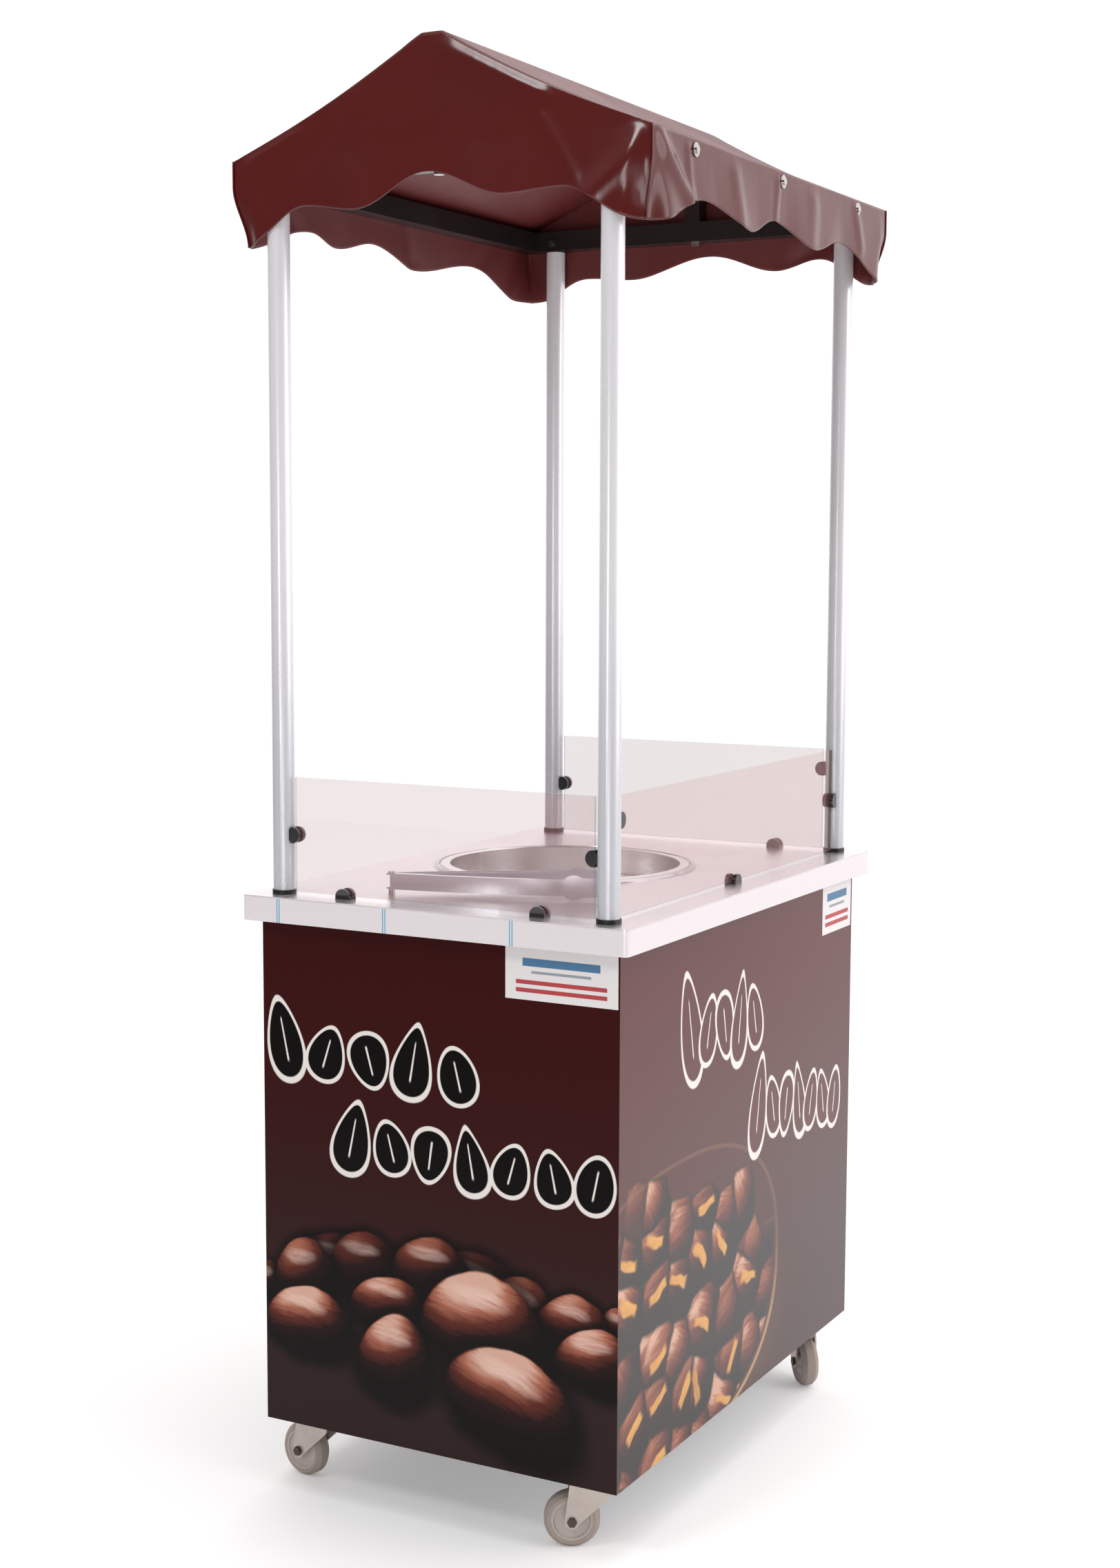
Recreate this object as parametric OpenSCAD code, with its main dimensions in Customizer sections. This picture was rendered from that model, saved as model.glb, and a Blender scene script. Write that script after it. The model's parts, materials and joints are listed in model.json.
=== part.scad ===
// Push vending cart with a drop-in roasting pan, glass screens and a gabled canopy.
// X is the width, Y the length (front gable at -Y), Z up. Vendor side -X, customer side +X.

/* [Cabinet] */
// Width of the cabinet across X
cabinet_w = 550; // [480:10:620]
// Length of the cabinet along Y
cabinet_l = 810; // [720:10:900]
// Height of the cabinet panels
cabinet_h = 710; // [600:10:800]
// Thickness of the cabinet panels
panel_t = 1.2; // [0.8:0.1:2]
// Leg width of the steel angles in the cabinet frame
angle_w = 30; // [28:1:36]
// Thickness of the steel angles
angle_t = 3; // [2:0.5:4]

/* [Doors] */
// Depth of a door from its skin to the edge of its folds
door_t = 15; // [14:1:20]
// Height of the fascia above the doors
fascia_h = 120; // [100:5:160]
// Gap between the doors and round them
door_gap = 3; // [2:0.5:5]
// Radius of the door hinge pins
hinge_pin_r = 3; // [2.5:0.5:4]

/* [Counter] */
// Overhang of the counter past the cabinet on every side
counter_over = 20; // [15:1:30]
// Height of the counter's folded lip
lip_h = 35; // [28:1:45]
// Thickness of the counter sheet
counter_t = 1.2; // [1:0.1:2]
// Corner radius of the counter
counter_r = 7; // [4:1:12]

/* [Pan] */
// Radius of the pan's inside
pan_r = 172; // [150:1:180]
// Depth of the pan below its rim
pan_depth = 60; // [50:1:70]
// Thickness of the pan's wall
pan_t = 1.5; // [1:0.1:3]
// Pan centre across X
pan_x = -45; // [-50:1:0]
// Pan centre along Y
pan_y = 45; // [0:1:60]

/* [Posts and glass] */
// Outside radius of a canopy post
post_r = 15; // [12.5:0.5:17]
// Wall of a canopy post
post_wall = 1.5; // [1:0.1:2.5]
// Length of a canopy post
post_l = 944; // [800:2:1100]
// Post axis to the counter's edge across X
post_in_x = 45; // [42:1:48]
// Post axis to the counter's edge along Y
post_in_y = 37; // [34:1:40]
// Thickness of the glass screens
glass_t = 5; // [4:0.5:6]
// Height of the glass screens
glass_h = 157; // [120:1:220]
// Radius of a half-round glass clamp
clamp_r = 11; // [9:0.5:13]

/* [Canopy] */
// Side of the square canopy rails
rail_s = 30; // [25:1:35]
// Wall of the canopy rails
rail_wall = 1.5; // [1:0.1:3]
// Outer face of the side rails to the post axis
rail_out = 59; // [50:1:70]
// Side of the king posts and the ridge bar
ridge_s = 25; // [20:1:28]
// Height of the ridge above the canopy rails
ridge_rise = 136; // [90:2:200]
// Thickness of the canopy cover
cover_t = 2; // [1.5:0.1:3]
// Longest drop of the scalloped valance
valance_h = 118; // [90:1:140]
// Rise of each scallop
scallop_h = 34; // [20:1:45]
// Scallops on every side
scallops = 3; // [2:1:4]

/* [Casters] */
// Height of a caster from the floor to its plate's top
caster_h = 100; // [96:1:120]
// Radius of a wheel
wheel_r = 37.5; // [32:0.5:40]
// Width of a wheel
wheel_w = 25; // [20:1:30]
// Distance of the wheel's axle behind the swivel axis
trail = 34; // [26:1:38]
// Swivel axis to the cabinet's outer faces
caster_in = 56; // [56:1:75]
// Radius of a wheel axle
axle_r = 4; // [3:0.5:5]

/* [Tongs] */
// Length of the tongs from hinge to tip
tongs_l = 290; // [220:5:300]
// Opening angle of the tongs
tongs_open = 18; // [12:1:22]

/* [Hidden] */
$fn = 64;
run_gap = 0.05;   // radial clearance of a pin that turns in a bore
seat_gap = 0.3;   // gap between faces that nearly touch
hole_gap = 0.4;   // radial clearance of a bolt hole
eps = 0.01;

cab_z = caster_h;
counter_z = cab_z + cabinet_h + lip_h;            // counter surface
counter_under = counter_z - counter_t;
cab_x = cabinet_w / 2;
cab_y = cabinet_l / 2;
frame_x = cab_x - panel_t;                        // outer face of the frame, customer side
frame_y = cab_y - panel_t;
frame_xl = cab_x - door_t - 5;                    // outer face of the base frame, vendor side
counter_x = cab_x + counter_over;
counter_y = cab_y + counter_over;
floor_z = cab_z + angle_t;

post_x = counter_x - post_in_x;
post_y = counter_y - post_in_y;
base_cap_h = 6;
plug_flange = 2;
post_z = counter_z + base_cap_h;
rail_z = post_z + post_l + plug_flange;           // underside of the canopy rails
rail_x = post_x + rail_out;                       // outer face of the side rails
rail_y = post_y + rail_s / 2;                     // outer face of the end rails
ridge_z = rail_z + rail_s + ridge_rise;           // top of the ridge bar
cover_gap = 0.6;
cover_x = rail_x + cover_gap + cover_t;
cover_y = rail_y + cover_gap + cover_t;
eave_z = rail_z + rail_s + cover_gap + cover_t;
cover_top = ridge_z + cover_gap + cover_t;
valance_z = eave_z - valance_h;
plug_r = post_r - post_wall - 0.1;
spigot_s = 20;                                    // square spigot of a post-top plug
spigot_h = 20;
screw_r = 2.5;
m8_r = 4;

door_h = cabinet_h - fascia_h - 2 * door_gap;
door_z = cab_z + door_gap;
fascia_z = door_z + door_h + door_gap;
hinge_x = -(cab_x - door_t / 2);
hinge_y = frame_y - 12;
door_edge = 7;                                    // door edge past the hinge axis
door_w = hinge_y + door_edge - door_gap / 2;
hinge_tube_r = 6;
hinge_tube_h = 30;
door_sheet = 1;
door_lug_t = 3;
handle_l = 120;
handle_r = 5;
handle_out = 24;

pan_rim = 14;                                     // width of the pan's rim outside its wall
pan_rim_t = 2;
collar_w = 9;                                     // width of the collar shown round the pan's rim
collar_h = 4;
pan_fit = 1.5;                                    // gap round the pan's wall in the collar
pan_hole_r = pan_r + pan_t + pan_fit + 2.5;
ledge_r = pan_r - 8;
ledge_z = 38;                                     // depth of the step inside the pan

burner_r = 80;
burner_s = 20;
burner_z = counter_z - pan_depth - 58;
valve_x = -(cab_x - door_t - 22);
knob_x = -cab_x;
spindle_r = 4;
strap_w = 30;
strap_t = 3;
strap_z = burner_z - burner_s / 2 - strap_t;

plate_s = 64;
plate_t = 3;
race_r = 20;
race_h = 9;
crown_t = 2.5;
crown_z = caster_h - plate_t - race_h - crown_t;
kingpin_r = 6;
leg_t = 2.5;
leg_gap = wheel_w + 4;
hub_r = 28;
bore_len = leg_gap - 0.6;
caster_bolt = 22;
m6_r = 3;
gusset_s = caster_in + plate_s / 2 - angle_w + 4;

clamp_base = 3;
clamp_cheek = 5;
gasket_t = 1;
clamp_w = glass_t + 2 * gasket_t + 2 * clamp_cheek;
glass_z = counter_z + clamp_base + gasket_t;
glass_gap = 5;                                    // glass edge to the post's surface
tong_h = 22;
tong_t = 1.2;
tong_x = -118;
tong_y = -322;
tong_dir = 24;
tong_pin_r = 2.5;
tong_z = counter_z + 0.2;

// [side in X, end in Y, direction the wheel trails]
casters = [[1, -1, 208], [-1, -1, 169], [1, 1, 310], [-1, 1, 250]];

// ---------- helpers ----------
module box(x0, y0, z0, x1, y1, z1) { translate([x0, y0, z0]) cube([x1 - x0, y1 - y0, z1 - z0]); }

module rounded_rect(x, y, r) {
  polygon([for (c = [[1, 1, 0], [-1, 1, 90], [-1, -1, 180], [1, -1, 270]], a = [0:15:90])
    [c[0] * (x - r) + r * cos(c[2] + a), c[1] * (y - r) + r * sin(c[2] + a)]]);
}

module square_tube(len, s, wall) {
  difference() {
    translate([-s / 2, -s / 2, 0]) cube([s, s, len]);
    translate([-s / 2 + wall, -s / 2 + wall, -1]) cube([s - 2 * wall, s - 2 * wall, len + 2]);
  }
}

module at_posts() { for (sx = [-1, 1], sy = [-1, 1]) translate([sx * post_x, sy * post_y, 0]) children(); }

module at_caster_bolts() {
  for (sx = [-1, 1], sy = [-1, 1], bx = [-1, 1], by = [-1, 1])
    translate([sx * (cab_x - caster_in) + bx * caster_bolt, sy * (cab_y - caster_in) + by * caster_bolt, 0])
      children();
}

module at_caster(c) {
  translate([c[0] * (cab_x - caster_in), c[1] * (cab_y - caster_in), 0]) rotate([0, 0, c[2]]) children();
}

// ---------- cabinet ----------
// A ring of steel angle; the flat leg lies at flat_z and the upright leg spans z0 to z1.
module angle_ring(xl, z0, z1, flat_z) {
  difference() {
    box(-xl, -frame_y, z0, frame_x, frame_y, z1);
    box(-xl + angle_t, -frame_y + angle_t, z0 - 1, frame_x - angle_t, frame_y - angle_t, z1 + 1);
  }
  difference() {
    box(-xl, -frame_y, flat_z, frame_x, frame_y, flat_z + angle_t);
    box(-xl + angle_w, -frame_y + angle_w, flat_z - 1,
        frame_x - angle_w, frame_y - angle_w, flat_z + angle_t + 1);
  }
}

module base_frame() {
  color("dimgray") difference() {
    union() {
      angle_ring(frame_xl, cab_z, cab_z + angle_w, cab_z);
      for (sx = [-1, 1], sy = [-1, 1]) {
        ax = sx > 0 ? frame_x - angle_w : -frame_xl + angle_w;
        ay = sy * (frame_y - angle_w);
        translate([ax, ay, cab_z]) mirror([sx > 0 ? 1 : 0, 0, 0]) mirror([0, sy > 0 ? 1 : 0, 0])
          translate([-eps, -eps, 0]) cube([gusset_s, gusset_s, angle_t]);
      }
    }
    at_caster_bolts() translate([0, 0, cab_z - 1]) cylinder(r = m6_r + hole_gap, h = angle_t + 2);
  }
}

// Corner uprights; on the vendor side they turn their backs to the doors.
upright_w = 22;
upright_h = counter_under - angle_t - floor_z - panel_t;
module uprights() {
  color("dimgray") for (sx = [-1, 1], sy = [-1, 1]) {
    ox = sx > 0 ? frame_x - angle_t : -frame_xl + angle_t + upright_w;
    translate([ox, sy * (frame_y - angle_t), floor_z + panel_t])
      mirror([1, 0, 0]) mirror([0, sy > 0 ? 1 : 0, 0]) {
      cube([upright_w, angle_t, upright_h]);
      cube([angle_t, upright_w, upright_h]);
    }
  }
}

module top_frame() {
  color("dimgray") difference() {
    angle_ring(frame_x, counter_under - angle_w, counter_under, counter_under - angle_t);
    at_posts() translate([0, 0, counter_under - angle_t - 1]) cylinder(r = m8_r + hole_gap, h = angle_t + 2);
  }
}

module floor_panel() {
  color("silver") difference() {
    box(-frame_xl + angle_t + seat_gap, -frame_y + angle_t + seat_gap, floor_z,
        frame_x - angle_t - seat_gap, frame_y - angle_t - seat_gap, floor_z + panel_t);
    at_caster_bolts() translate([0, 0, floor_z - 1]) cylinder(r = m6_r + hole_gap, h = panel_t + 2);
  }
}

panel_top = counter_under - seat_gap;
module end_panel(sy) {
  color([0.22, 0.06, 0.05]) translate([0, sy * (cab_y - panel_t / 2), 0])
    box(-cab_x, -panel_t / 2, cab_z, cab_x, panel_t / 2, panel_top);
}
module front_panel() { end_panel(-1); }
module rear_panel() { end_panel(1); }
module side_panel() {
  color([0.22, 0.06, 0.05]) box(cab_x - panel_t, -frame_y, cab_z, cab_x, frame_y, panel_top);
}

// Sheet above the doors, folded back along its lower edge.
module vendor_fascia() {
  color([0.22, 0.06, 0.05]) difference() {
    union() {
      box(-cab_x, -frame_y, fascia_z, -cab_x + panel_t, frame_y, panel_top);
      box(-cab_x, -frame_y, fascia_z, -frame_xl, frame_y, fascia_z + panel_t);
    }
    translate([-cab_x - 1, pan_y, burner_z]) rotate([0, 90, 0]) cylinder(r = spindle_r + 1, h = 5);
    for (sy = [-1, 1]) translate([hinge_x, sy * hinge_y, fascia_z - 1])
      cylinder(r = hinge_pin_r + run_gap, h = panel_t + 2);
  }
}

// One door, hinged at sy * hinge_y, with its folded edges and hinge tubes.
module door(sy) {
  color([0.22, 0.06, 0.05]) mirror([0, sy > 0 ? 1 : 0, 0]) difference() {
    union() {
      difference() {
        box(-cab_x, -hinge_y - door_edge, door_z, -cab_x + door_t, -door_gap / 2, door_z + door_h);
        box(-cab_x + door_sheet, -hinge_y - door_edge + door_sheet, door_z + door_sheet,
            -cab_x + door_t + 1, -door_gap / 2 - door_sheet, door_z + door_h - door_sheet);
      }
      for (z = [door_z, door_z + door_h - hinge_tube_h])
        translate([hinge_x, -hinge_y, z]) cylinder(r = hinge_tube_r, h = hinge_tube_h);
      for (z = [door_z, door_z + door_h - hinge_tube_h])
        box(-cab_x + eps, -hinge_y - door_edge + eps, z + eps, hinge_x, -hinge_y, z + hinge_tube_h);
      // strike plate for the magnetic catch
      box(-cab_x + eps, -34, door_z + door_h - 26, -cab_x + door_t, -14, door_z + door_h - eps);
    }
    for (z = [door_z, door_z + door_h]) translate([hinge_x, -hinge_y, z - hinge_tube_h - 1])
      cylinder(r = hinge_pin_r + run_gap, h = 2 * hinge_tube_h + 2);
  }
}
handle_y = 40;
handle_z = door_z + door_h * 0.62;
module door_front() { door(-1); }
module door_rear() { door(1); }

// Bow handle with two feet on the door's skin.
module bow_handle(sy) {
  color([0.08, 0.08, 0.08]) translate([-cab_x, sy * handle_y, handle_z]) {
    for (z = [-1, 1]) translate([-handle_out, -8, z * (handle_l / 2 - 12) - 8]) cube([handle_out, 16, 16]);
    translate([-handle_out - handle_r, -8, -handle_l / 2]) cube([handle_r * 2, 16, handle_l]);
  }
}
module door_handle_front() { bow_handle(-1); }
module door_handle_rear() { bow_handle(1); }

// Lower pins stand on lugs of the base frame, upper pins drop through the fascia's fold.
module door_hinge_pins() {
  color("silver") for (sy = [-1, 1]) translate([0, sy * hinge_y, 0]) {
    translate([hinge_x, 0, cab_z]) cylinder(r = hinge_pin_r, h = door_gap + hinge_tube_h - 6);
    box(hinge_x - 5, -5, cab_z, -frame_xl, 5, cab_z + door_gap - 0.6);
    translate([hinge_x, 0, fascia_z - door_gap - hinge_tube_h + 8])
      cylinder(r = hinge_pin_r, h = door_gap + hinge_tube_h - 8 + panel_t + eps);
    translate([hinge_x, 0, fascia_z + panel_t]) cylinder(r = hinge_pin_r + 2, h = 2);
  }
}

module magnetic_catches() {
  color([0.1, 0.1, 0.1]) for (sy = [-1, 1])
    box(-cab_x + door_t + 0.5, sy * 24 - 10, fascia_z - 22, -frame_xl + 14, sy * 24 + 10, fascia_z);
}

// ---------- counter and pan ----------
module counter_top() {
  color([0.85, 0.85, 0.87]) difference() {
    translate([0, 0, counter_z - lip_h]) linear_extrude(lip_h) rounded_rect(counter_x, counter_y, counter_r);
    translate([0, 0, counter_z - lip_h - 1]) linear_extrude(lip_h + 1 - counter_t)
      rounded_rect(counter_x - counter_t, counter_y - counter_t, counter_r - counter_t);
    translate([pan_x, pan_y, counter_z - lip_h]) cylinder(r = pan_hole_r, h = lip_h + 1, $fn = 96);
    at_posts() translate([0, 0, counter_under - 1]) cylinder(r = m8_r + hole_gap, h = counter_t + 2);
  }
}

// Pressed collar that lines the round hole and carries the pan's rim.
module pan_collar() {
  ri = pan_r + pan_t + pan_fit;
  ro = pan_r + pan_t + pan_rim + collar_w;
  color([0.8, 0.8, 0.82]) translate([pan_x, pan_y, counter_z]) rotate_extrude($fn = 96)
    polygon([[ri, -lip_h + 12], [ri + 1.2, -lip_h + 12], [ri + 1.2, 0], [ro, 0], [ro, 1], [ro - 3, collar_h],
      [ro - collar_w + 1.5, collar_h], [ro - collar_w, 1.2], [ri, 1.2]]);
}

module roasting_pan() {
  pan_seat = counter_z + 1.2 + seat_gap + run_gap;
  color([0.75, 0.75, 0.77]) translate([pan_x, pan_y, pan_seat]) rotate_extrude($fn = 96)
    polygon([[0, -pan_depth], [ledge_r - 6, -pan_depth], [ledge_r, -pan_depth + 6], [ledge_r, -ledge_z],
      [pan_r + pan_t - 1, -ledge_z], [pan_r + pan_t, -ledge_z + 1], [pan_r + pan_t, 0],
      [pan_r + pan_t + pan_rim - 2, 0], [pan_r + pan_t + pan_rim - 2, pan_rim_t], [pan_r + 1, pan_rim_t + 1],
      [pan_r, pan_rim_t], [pan_r, -ledge_z + pan_t], [ledge_r - pan_t, -ledge_z + pan_t],
      [ledge_r - pan_t, -pan_depth + 6], [ledge_r - 6.6, -pan_depth + pan_t], [0, -pan_depth + pan_t]]);
}

// ---------- burner ----------
module burner_straps() {
  color("gray") for (sy = [-1, 1]) translate([0, pan_y + sy * (burner_r - strap_w / 2 + 6) - strap_w / 2, 0]) {
    x1 = frame_x - angle_t;
    box(-x1, 0, strap_z, x1, strap_w, strap_z + strap_t);
    box(-x1, 0, strap_z, -x1 + strap_t, strap_w, counter_under - angle_t);
    box(x1 - strap_t, 0, strap_z, x1, strap_w, counter_under - angle_t);
  }
}

module burner_ring() {
  color([0.15, 0.15, 0.15]) translate([pan_x, pan_y, burner_z - burner_s / 2]) difference() {
    union() {
      difference() {
        cylinder(r = burner_r, h = burner_s);
        translate([0, 0, -1]) cylinder(r = burner_r - burner_s, h = burner_s + 2);
      }
      difference() {
        cylinder(r = 34, h = burner_s);
        translate([0, 0, -1]) cylinder(r = 14, h = burner_s + 2);
      }
      for (a = [45:90:359]) rotate([0, 0, a]) translate([30, -6, 0])
        cube([burner_r - burner_s - 28, 12, burner_s]);
      rotate([0, 0, 180]) translate([30, -11, 0]) cube([burner_r - 26, 22, burner_s]);
    }
    for (a = [0:15:359]) rotate([0, 0, a]) translate([burner_r - burner_s / 2, 0, burner_s - 6])
      cylinder(r = 1.6, h = 7, $fn = 16);
    for (a = [0:30:359]) rotate([0, 0, a]) translate([25, 0, burner_s - 6])
      cylinder(r = 1.6, h = 7, $fn = 16);
  }
}

// Tube from the burner's boss to the bell over the gas jet.
module mixer_tube() {
  x0 = pan_x - burner_r - 4;
  len = x0 - valve_x - 22;
  color([0.2, 0.2, 0.2]) translate([x0, pan_y, burner_z]) rotate([0, -90, 0]) difference() {
    union() {
      cylinder(r = 9, h = len);
      translate([0, 0, len - 12]) cylinder(r1 = 9, r2 = 14, h = 12);
    }
    translate([0, 0, 2]) cylinder(r = 7, h = len);
  }
}

// Valve on the line of the knob, with its gland on the fascia, its jet and its hose tail.
module gas_valve() {
  color([0.75, 0.62, 0.3]) difference() {
    union() {
      box(valve_x - 14, pan_y - 12, burner_z - 12, valve_x + 14, pan_y + 12, burner_z + 12);
      translate([valve_x + 13, pan_y, burner_z]) rotate([0, 90, 0]) cylinder(r = 5, h = 12);
      translate([-cab_x + panel_t, pan_y, burner_z]) rotate([0, 90, 0])
        cylinder(r = 9, h = valve_x + cab_x - 13 - panel_t);
      translate([-cab_x + panel_t, pan_y, burner_z]) rotate([0, 90, 0]) cylinder(r = 13, h = 4, $fn = 6);
      translate([valve_x, pan_y, burner_z - 20]) cylinder(r = 8, h = 9, $fn = 6);
      translate([valve_x, pan_y, burner_z - 46]) cylinder(r = 3.6, h = 27);
      for (z = [-45, -38, -31]) translate([valve_x, pan_y, burner_z + z])
        cylinder(r1 = 3.8, r2 = 4.8, h = 5);
    }
    translate([-cab_x, pan_y, burner_z]) rotate([0, 90, 0])
      cylinder(r = spindle_r + run_gap, h = valve_x + cab_x);
    translate([valve_x, pan_y, burner_z - 47]) cylinder(r = 2, h = 30);
  }
}

module control_knob() {
  color([0.07, 0.07, 0.07]) translate([knob_x, pan_y, burner_z]) rotate([0, -90, 0]) {
    translate([0, 0, 1]) cylinder(r = 20, h = 5);
    translate([0, 0, 5]) cylinder(r = 16, h = 8);
    translate([-4, -19, 5.5]) cube([8, 38, 15]);
    translate([0, 0, knob_x - valve_x + 1]) cylinder(r = spindle_r, h = valve_x - knob_x + 1);
  }
}

// ---------- posts ----------
module posts() {
  color([0.8, 0.82, 0.85]) at_posts() translate([0, 0, post_z]) difference() {
    cylinder(r = post_r, h = post_l);
    translate([0, 0, -1]) cylinder(r = post_r - post_wall, h = post_l + 2);
  }
}

module post_base_caps() {
  color([0.06, 0.06, 0.06]) at_posts() translate([0, 0, counter_z]) difference() {
    union() {
      cylinder(r = post_r + 1.5, h = base_cap_h);
      cylinder(r = plug_r, h = base_cap_h + 22);
    }
    translate([0, 0, -1]) cylinder(r = m8_r + run_gap, h = base_cap_h + 25);
  }
}

module post_base_bolts() {
  color("silver") at_posts() translate([0, 0, counter_under - angle_t]) {
    translate([0, 0, -7]) cylinder(r = 7.5, h = 5.5, $fn = 6);
    translate([0, 0, -1.5]) cylinder(r = 8.5, h = 1.5);
    translate([0, 0, -4]) cylinder(r = m8_r, h = 4 + angle_t + counter_t + base_cap_h + 18);
  }
}

module post_top_plugs() {
  color([0.06, 0.06, 0.06]) at_posts() translate([0, 0, post_z + post_l]) difference() {
    union() {
      translate([0, 0, -24]) cylinder(r = plug_r, h = 24 + eps);
      cylinder(r = post_r, h = plug_flange);
      translate([-spigot_s / 2, -spigot_s / 2, 0]) cube([spigot_s, spigot_s, plug_flange + spigot_h]);
    }
    translate([0, 0, plug_flange + 12]) rotate([90, 0, 0])
      cylinder(r = screw_r + run_gap, h = 2 * spigot_s, center = true);
  }
}

// Screws through the end rails' inner faces into the plugs.
module post_top_screws() {
  color("silver") for (sx = [-1, 1], sy = [-1, 1])
    translate([sx * post_x, sy * (post_y - rail_s / 2), rail_z + 12]) rotate([-sy * 90, 0, 0]) {
      translate([0, 0, -3]) cylinder(r = 5, h = 3);
      translate([0, 0, -1]) cylinder(r = screw_r, h = rail_s / 2 + 8);
    }
}

// ---------- glass ----------
end_glass_x = post_x - post_r - glass_gap;
side_glass_y = post_y - post_r - glass_gap;
module glass_pane(x, y, sx, sy) {
  color([0.8, 0.92, 0.9, 0.3]) translate([x - sx / 2, y - sy / 2, glass_z]) cube([sx, sy, glass_h]);
}
module glass_front() { glass_pane(0, -post_y, 2 * end_glass_x, glass_t); }
module glass_rear() { glass_pane(0, post_y, 2 * end_glass_x, glass_t); }
module glass_side() { glass_pane(post_x, 0, glass_t, 2 * side_glass_y); }

end_clamp_x = post_x * 0.6;
// [x, y, turn that faces the outer cheek outward]
clamp_spots = [[-end_clamp_x, -post_y, 0], [end_clamp_x, -post_y, 0], [-end_clamp_x, post_y, 180],
  [end_clamp_x, post_y, 180], [post_x, 0, 90]];
low_clamp = 82;
high_clamp = 130;
// [x, y, turn of the outer cheek, side of the post, height]
post_clamp_spots = [[-post_x + post_r, -post_y, 0, 1, low_clamp], [post_x - post_r, -post_y, 0, -1, low_clamp],
  [-post_x + post_r, post_y, 180, -1, low_clamp], [post_x - post_r, post_y, 180, 1, high_clamp],
  [post_x, -post_y + post_r, 90, 1, high_clamp], [post_x, post_y - post_r, 90, -1, low_clamp]];

// Half-round clamp standing on its base: local -Y is the outward cheek and Z its height.
module half_disc(r, t) {
  intersection() {
    rotate([90, 0, 0]) cylinder(r = r, h = t, center = true, $fn = 48);
    translate([-r, -t, 0]) cube([2 * r, 2 * t, r]);
  }
}
module clamp_body() {
  inner = glass_t + 2 * gasket_t;
  difference() {
    union() {
      translate([0, 0, clamp_base]) half_disc(clamp_r, clamp_w);
      translate([-clamp_r, -clamp_w / 2, 0]) cube([2 * clamp_r, clamp_w, clamp_base + eps]);
    }
    translate([-clamp_r - 1, -inner / 2, clamp_base]) cube([2 * clamp_r + 2, inner, clamp_r + 1]);
  }
}
module clamp_pads() {
  for (s = [-1, 1]) translate([0, s * (glass_t + gasket_t) / 2, clamp_base]) half_disc(clamp_r - 0.5, gasket_t);
  translate([-clamp_r + 0.5, -glass_t / 2, clamp_base]) cube([2 * clamp_r - 1, glass_t, gasket_t]);
}
module at_counter_clamps() {
  for (s = clamp_spots) translate([s[0], s[1], counter_z]) rotate([0, 0, s[2]]) children();
}
// A post clamp lies on its side, its base seated in the side of the post.
module at_post_clamps() {
  for (s = post_clamp_spots) translate([s[0], s[1], counter_z + s[4]]) rotate([0, 0, s[2]])
    rotate([0, s[3] * 90, 0]) translate([0, 0, glass_gap - clamp_base - gasket_t]) children();
}
// Saddle between a post clamp's base and the post.
module post_seat() {
  reach = glass_gap - clamp_base - gasket_t;
  difference() {
    translate([-clamp_r * 0.7, -clamp_w / 2 + 1, -7]) cube([clamp_r * 1.4, clamp_w - 2, 7 + eps]);
    translate([-clamp_r - 1, 0, -post_r - reach]) rotate([0, 90, 0])
      cylinder(r = post_r + run_gap, h = 2 * clamp_r + 2);
  }
}
module glass_clamps() {
  color([0.85, 0.85, 0.87]) {
    at_counter_clamps() clamp_body();
    at_post_clamps() { clamp_body(); post_seat(); }
  }
}
module clamp_gaskets() {
  color([0.05, 0.05, 0.05]) { at_counter_clamps() clamp_pads(); at_post_clamps() clamp_pads(); }
}

// ---------- canopy ----------
screw_drop = 12;
screw_ys = [-rail_y * 0.7, 0, rail_y * 0.7];
module side_rails() {
  color([0.05, 0.05, 0.05]) for (sx = [-1, 1]) difference() {
    translate([sx * (rail_x - rail_s / 2), -rail_y, rail_z + rail_s / 2]) rotate([-90, 0, 0])
      square_tube(2 * rail_y, rail_s, rail_wall);
    for (y = screw_ys) translate([sx * (rail_x - rail_s / 2), y, rail_z + rail_s - screw_drop])
      rotate([0, sx * 90, 0]) cylinder(r = screw_r + run_gap, h = rail_s);
  }
}

module end_rails() {
  color([0.05, 0.05, 0.05]) for (sy = [-1, 1]) difference() {
    translate([-(rail_x - rail_s), sy * post_y, rail_z + rail_s / 2]) rotate([0, 90, 0])
      square_tube(2 * (rail_x - rail_s), rail_s, rail_wall);
    for (sx = [-1, 1]) {
      translate([sx * post_x - spigot_s / 2 - 0.3, sy * post_y - spigot_s / 2 - 0.3, rail_z - 1])
        cube([spigot_s + 0.6, spigot_s + 0.6, rail_wall + 2]);
      translate([sx * post_x, sy * (post_y - rail_s / 2), rail_z + 12]) rotate([90, 0, 0])
        cylinder(r = screw_r + run_gap, h = 6, center = true);
    }
    translate([0, sy * post_y, rail_z - 1]) cylinder(r = m8_r + hole_gap, h = rail_s + 2);
  }
}

module king_posts() {
  color([0.05, 0.05, 0.05]) for (sy = [-1, 1]) translate([0, sy * post_y, rail_z + rail_s]) {
    square_tube(ridge_rise - ridge_s, ridge_s, rail_wall);
    difference() {
      translate([-ridge_s / 2 + 1, -ridge_s / 2 + 1, 0]) cube([ridge_s - 2, ridge_s - 2, 12]);
      translate([0, 0, -1]) cylinder(r = m8_r + run_gap, h = 14);
    }
  }
}

module king_post_bolts() {
  color("silver") for (sy = [-1, 1]) translate([0, sy * post_y, rail_z]) {
    translate([0, 0, -5.5]) cylinder(r = 7.5, h = 5.5, $fn = 6);
    translate([0, 0, -1]) cylinder(r = m8_r, h = rail_s + 11);
  }
}

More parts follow.
